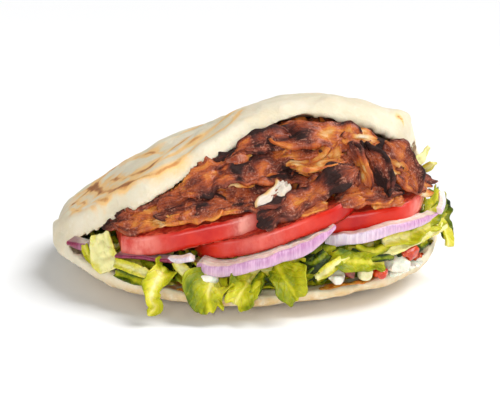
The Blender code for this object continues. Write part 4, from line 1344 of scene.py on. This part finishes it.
def shred_shapes(count, seed):
    """Shreds of leaf to strew, each a little different."""
    shapes = []
    for index in range(count):
        dice = np.random.default_rng(seed + index)
        long, bow = dice.uniform(12, 22), dice.uniform(-2, 3)
        path = ((-long / 2, 0, 0), (0, dice.uniform(-1.5, 1.5), bow), (long / 2, 0, 0))
        pile = Pile()
        add_sheet(pile, "green", leaf(
            path, dice.uniform(6, 11), (0, 0, 1), dice.uniform(-0.2, 0.4),
            dice.uniform(-0.9, 1.1), dice.uniform(0.8, 1.6), 0.8, dice.uniform(0.1, 0.9),
            dice.uniform(0.1, 0.8), 0.9, seed + index, 0.9))
        shapes.append(pile)
    return shapes


def lettuce(pocket, tree):
    finish = lettuce_finish()
    for seed, (key, leaf_of) in enumerate(LEAVES.items(), 3):
        pile = Pile()
        add_sheet(pile, "green", leaf(*leaf_of, seed), pocket, LEAF_ROOM)
        pile.build("lettuce_" + key, finish, "lettuce", "lettuce_" + key)
    pile = Pile()
    for seed, leaf_of in enumerate(MORE_LEAVES, 30):
        add_sheet(pile, "green", leaf(*leaf_of, seed), pocket, LEAF_ROOM)
    pile.build("lettuce_more", finish, "lettuce")
    core = recast("lettuce_bed", LETTUCE_VOXEL, CORE_ROUNDS)
    core.name = "lettuce_core"
    seen = in_view(read_points(core.data), read_normals(core.data), tree)
    cover("lettuce_shreds", core, ease(seen * 4), shred_shapes(8, 200), finish, "lettuce", pocket,
          LEAF_ROOM, spacing=5.0, number=5.0, sizes=(0.7, 1.15), seed=8, tilt=0.5, spin=1.2)
    sink(core, pocket, 1.0, 1.8, 81, "green", (0.75, 0.4, 5), finish, "lettuce", "lettuce_bed")


# ------------------------------------------------------------------ sauces and diced bits

# Finishes: darker colour, lighter colour, roughness
SAUCES = {
    "yoghurt_sauce": ((216, 213, 194), (238, 235, 220), 0.16),
    "chilli_sauce": ((172, 24, 6), (224, 84, 20), 0.12),
    "red_pepper": ((176, 24, 8), (218, 78, 24), 0.13),
    "pickled_pepper": ((84, 26, 14), (146, 50, 22), 0.2),
    "cabbage_stalk": ((214, 206, 146), (236, 230, 186), 0.25),
    "oily_sauce": ((196, 96, 20), (226, 158, 60), 0.16),
}
# Thick drops and diced bits on the lower lip: swell, size of the lumps, rounds of smoothing,
# finish, slot
DOLLOPS = {
    "yoghurt_pool_left": (0.9, 4, 60, "yoghurt_sauce", "yoghurt"),
    "yoghurt_pool_middle": (1.2, 5, 60, "yoghurt_sauce", "yoghurt"),
    "yoghurt_pool_right": (1.6, 6, 60, "yoghurt_sauce", "yoghurt"),
    "chilli_blob": (0.7, 6, 60, "chilli_sauce", "chilli"),
    "pickled_bit": (0.8, 3, 25, "pickled_pepper", "chilli"),
    "pepper_dice": (0.8, 3, 25, "red_pepper", "chilli"),
    "garnish_cube": (0.25, 3, 14, "cabbage_stalk", "garnish"),
}
DOLLOP_VOXEL = 0.4
# Thin sauce along the lip's crest: where it starts and ends, half width, height, how far
# inwards, seed, finish, slot
WASHES = {
    "sauce_oily_right": (26, 58, 2.4, 1.2, 1.4, 300, "oily_sauce", "chilli"),
    "sauce_white_right": (55, 70, 4.2, 1.5, 0.2, 310, "yoghurt_sauce", "yoghurt"),
    "sauce_chilli_right": (67.6, 72.4, 2.4, 1.8, 0.8, 330, "chilli_sauce", "chilli"),
    "sauce_oily_left": (-32, -20, 2.0, 1.0, 1.2, 320, "oily_sauce", "chilli"),
}
LIP_FRONT, LIP_BACK = -76.0, -20.0  # the lip's crest lies between these
UNDER_LID = 23.0  # above the lower lip, below the upper one


def sauce_finish(name, low, high, roughness):
    made = Finish(name, Subsurface_Weight=0.25, Subsurface_Scale=0.003, Coat_Weight=0.4,
                  Coat_Roughness=0.08)
    place = made.place
    colour = place.noise(2.2, 4, 0.6).step(0.3, 0.7).mix(tint(*low), tint(*high))
    return made.wire(Base_Color=colour, Roughness=place.noise(3, 2) * 0.2 + roughness,
                     Normal=place.noise(1.4, 3).bump(0.25, 0.6))


def lip_crest(tree, x):
    """The highest place of the lower lip at x, seen from above."""
    best = None
    for y in np.arange(LIP_FRONT, LIP_BACK, 0.5):
        hit = tree.ray_cast(Vector((x, y, UNDER_LID)), Vector((0, 0, -1)))[0]
        if hit is not None and (best is None or hit.z > best[2] + 0.02):
            best = (x, y, hit.z)
    return best


def sauce_wash(tree, start, end, width, height, inwards, seed):
    """A pile for thin sauce that has run together along the crest of the lower lip."""
    crest = np.array([lip_crest(tree, x) for x in np.linspace(start, end, 16)], float)
    spine = curve_through(crest, 90)
    run = unit(np.gradient(spine * (1, 1, 0), axis=0))
    inward = stack(-run[:, 1], run[:, 0], 0)
    turns = np.linspace(0, -2 * math.pi, 41)[:-1]
    u = np.linspace(0, 1, len(spine))
    fade = np.sqrt(np.clip(1.001 - np.abs(2 * u - 1) ** 3, 0, 1))
    wide = width * fade * (1 + 0.35 * rough(spine, 7, seed, 2))
    tall = height * fade * (1 + 0.3 * rough(spine, 5, seed + 1, 2))
    middle = spine + inward * (inwards + 0.8 * rough(spine, 9, seed + 2))[:, None] - (0, 0, 0.5)
    rings = (middle[:, None] + inward[:, None] * (wide[:, None] * np.cos(turns))[..., None]
             + np.array((0, 0, 1)) * (tall[:, None] * np.sin(turns))[..., None])
    points, *faces = lofted(rings)
    points = points + 0.25 * stack(0, 0, rough(points, 2.4, seed + 3, 2))
    pile = Pile()
    pile.add(points, *faces)
    return pile


def dollop(node, swell, lump, rounds, finish, slot):
    """A thick drop of sauce or a diced bit, rounded and a little uneven."""
    thing = recast(node, DOLLOP_VOXEL, rounds)
    thing.name = node + "_dollop"
    points, normals = read_points(thing.data), read_normals(thing.data)
    lift = swell * (1.2 * rough(points, lump, 91) - 0.1)
    write_points(thing.data, points + normals * lift[:, None])
    dress(thing.data, finish)
    keep(thing, slot, node)


def sauces(tree):
    finishes = {name: sauce_finish(name, *looks) for name, looks in SAUCES.items()}
    for node, (swell, lump, rounds, finish, slot) in DOLLOPS.items():
        dollop(node, swell, lump, rounds, finishes[finish], slot)
    for name, (*shape, finish, slot) in WASHES.items():
        sauce_wash(tree, *shape).build(name, finishes[finish], slot)


# ------------------------------------------------------------------ stage

# This section is in metres. Soft boxes of light: place, what they face, size and watts
SOFTBOXES = {
    "right_box": ((0.95, -0.45, 0.45), (0, 0, 0.04), (0.3, 0.5), 2.0),
    "left_box": ((-0.95, -0.75, 0.40), (0, 0, 0.05), (0.4, 0.4), 2.0),
    "front_box": ((-0.1, -1.35, 0.42), (0, 0, 0.04), (0.9, 0.5), 8.6),
}
WINDOW_SIDE = (0.66, 0.06, 1.0)  # where its light comes from
WINDOW_WIDTH = math.radians(38)
WINDOW_STRENGTH = 2.75
SKY = (0.97, 0.985, 1, 1)
SKY_STRENGTH = 0.25
TABLE_HALF = 4.0
LOOK_AT = (-0.0011, 0.003, 0.0255)
CAMERA_RISE = math.radians(17)
CAMERA_AWAY = 0.80
CAMERA_LENS, CAMERA_SENSOR = 130, 36  # millimetres


def softbox(name, place, target, size, watts):
    lamp = bpy.data.lights.new(name, "AREA")
    lamp.shape = "RECTANGLE"
    lamp.size, lamp.size_y = size
    lamp.energy = watts
    thing = add_object(name, lamp)
    thing.location = place
    thing.rotation_euler = (Vector(target) - Vector(place)).to_track_quat("-Z", "Y").to_euler()


def table():
    mesh = bpy.data.meshes.new("table")
    corners = [(-1, -1, 0), (1, -1, 0), (1, 1, 0), (-1, 1, 0)]
    mesh.from_pydata([Vector(corner) * TABLE_HALF for corner in corners], [], [(0, 1, 2, 3)])
    made = Finish("white_table", Roughness=0.9)
    shade = made.place.noise(400, 1).mix(tint(250, 250, 250), tint(252, 252, 252))
    mesh.materials.append(made.wire(Base_Color=shade))
    add_object("table", mesh)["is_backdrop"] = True


def lights():
    world = bpy.data.worlds.new("studio")
    world.use_nodes = True
    sky = world.node_tree.nodes["Background"]
    sky.inputs["Color"].default_value = SKY
    sky.inputs["Strength"].default_value = SKY_STRENGTH
    bpy.context.scene.world = world
    window = bpy.data.lights.new("window", "SUN")
    window.energy = WINDOW_STRENGTH
    window.angle = WINDOW_WIDTH
    thing = add_object("window", window)
    thing.rotation_euler = Vector(WINDOW_SIDE).to_track_quat("Z", "Y").to_euler()
    for name, looks in SOFTBOXES.items():
        softbox(name, *looks)
    bpy.context.scene.view_settings.view_transform = "Standard"


def camera():
    lens = bpy.data.cameras.new("camera")
    lens.lens = CAMERA_LENS
    lens.sensor_width = CAMERA_SENSOR
    thing = add_object("camera", lens)
    target = Vector(LOOK_AT)
    way = Vector((0, -math.cos(CAMERA_RISE), math.sin(CAMERA_RISE)))
    thing.location = target + CAMERA_AWAY * way
    thing.rotation_euler = (target - thing.location).to_track_quat("-Z", "Y").to_euler()
    bpy.context.scene.camera = thing


def main():
    bread_tree = bread()
    pocket = Pocket(bread_tree)
    tomatoes()
    onions()
    still = [name for name in frame["nodes"] if not name.startswith(("meat", "lettuce"))]
    tree = solid_tree(still)
    meat(pocket, tree)
    lettuce(pocket, tree)
    sauces(bread_tree)
    table()
    lights()
    camera()


main()
boxes = [cad_box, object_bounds()]
json.dumps([[list(corner) for corner in box] for box in boxes])
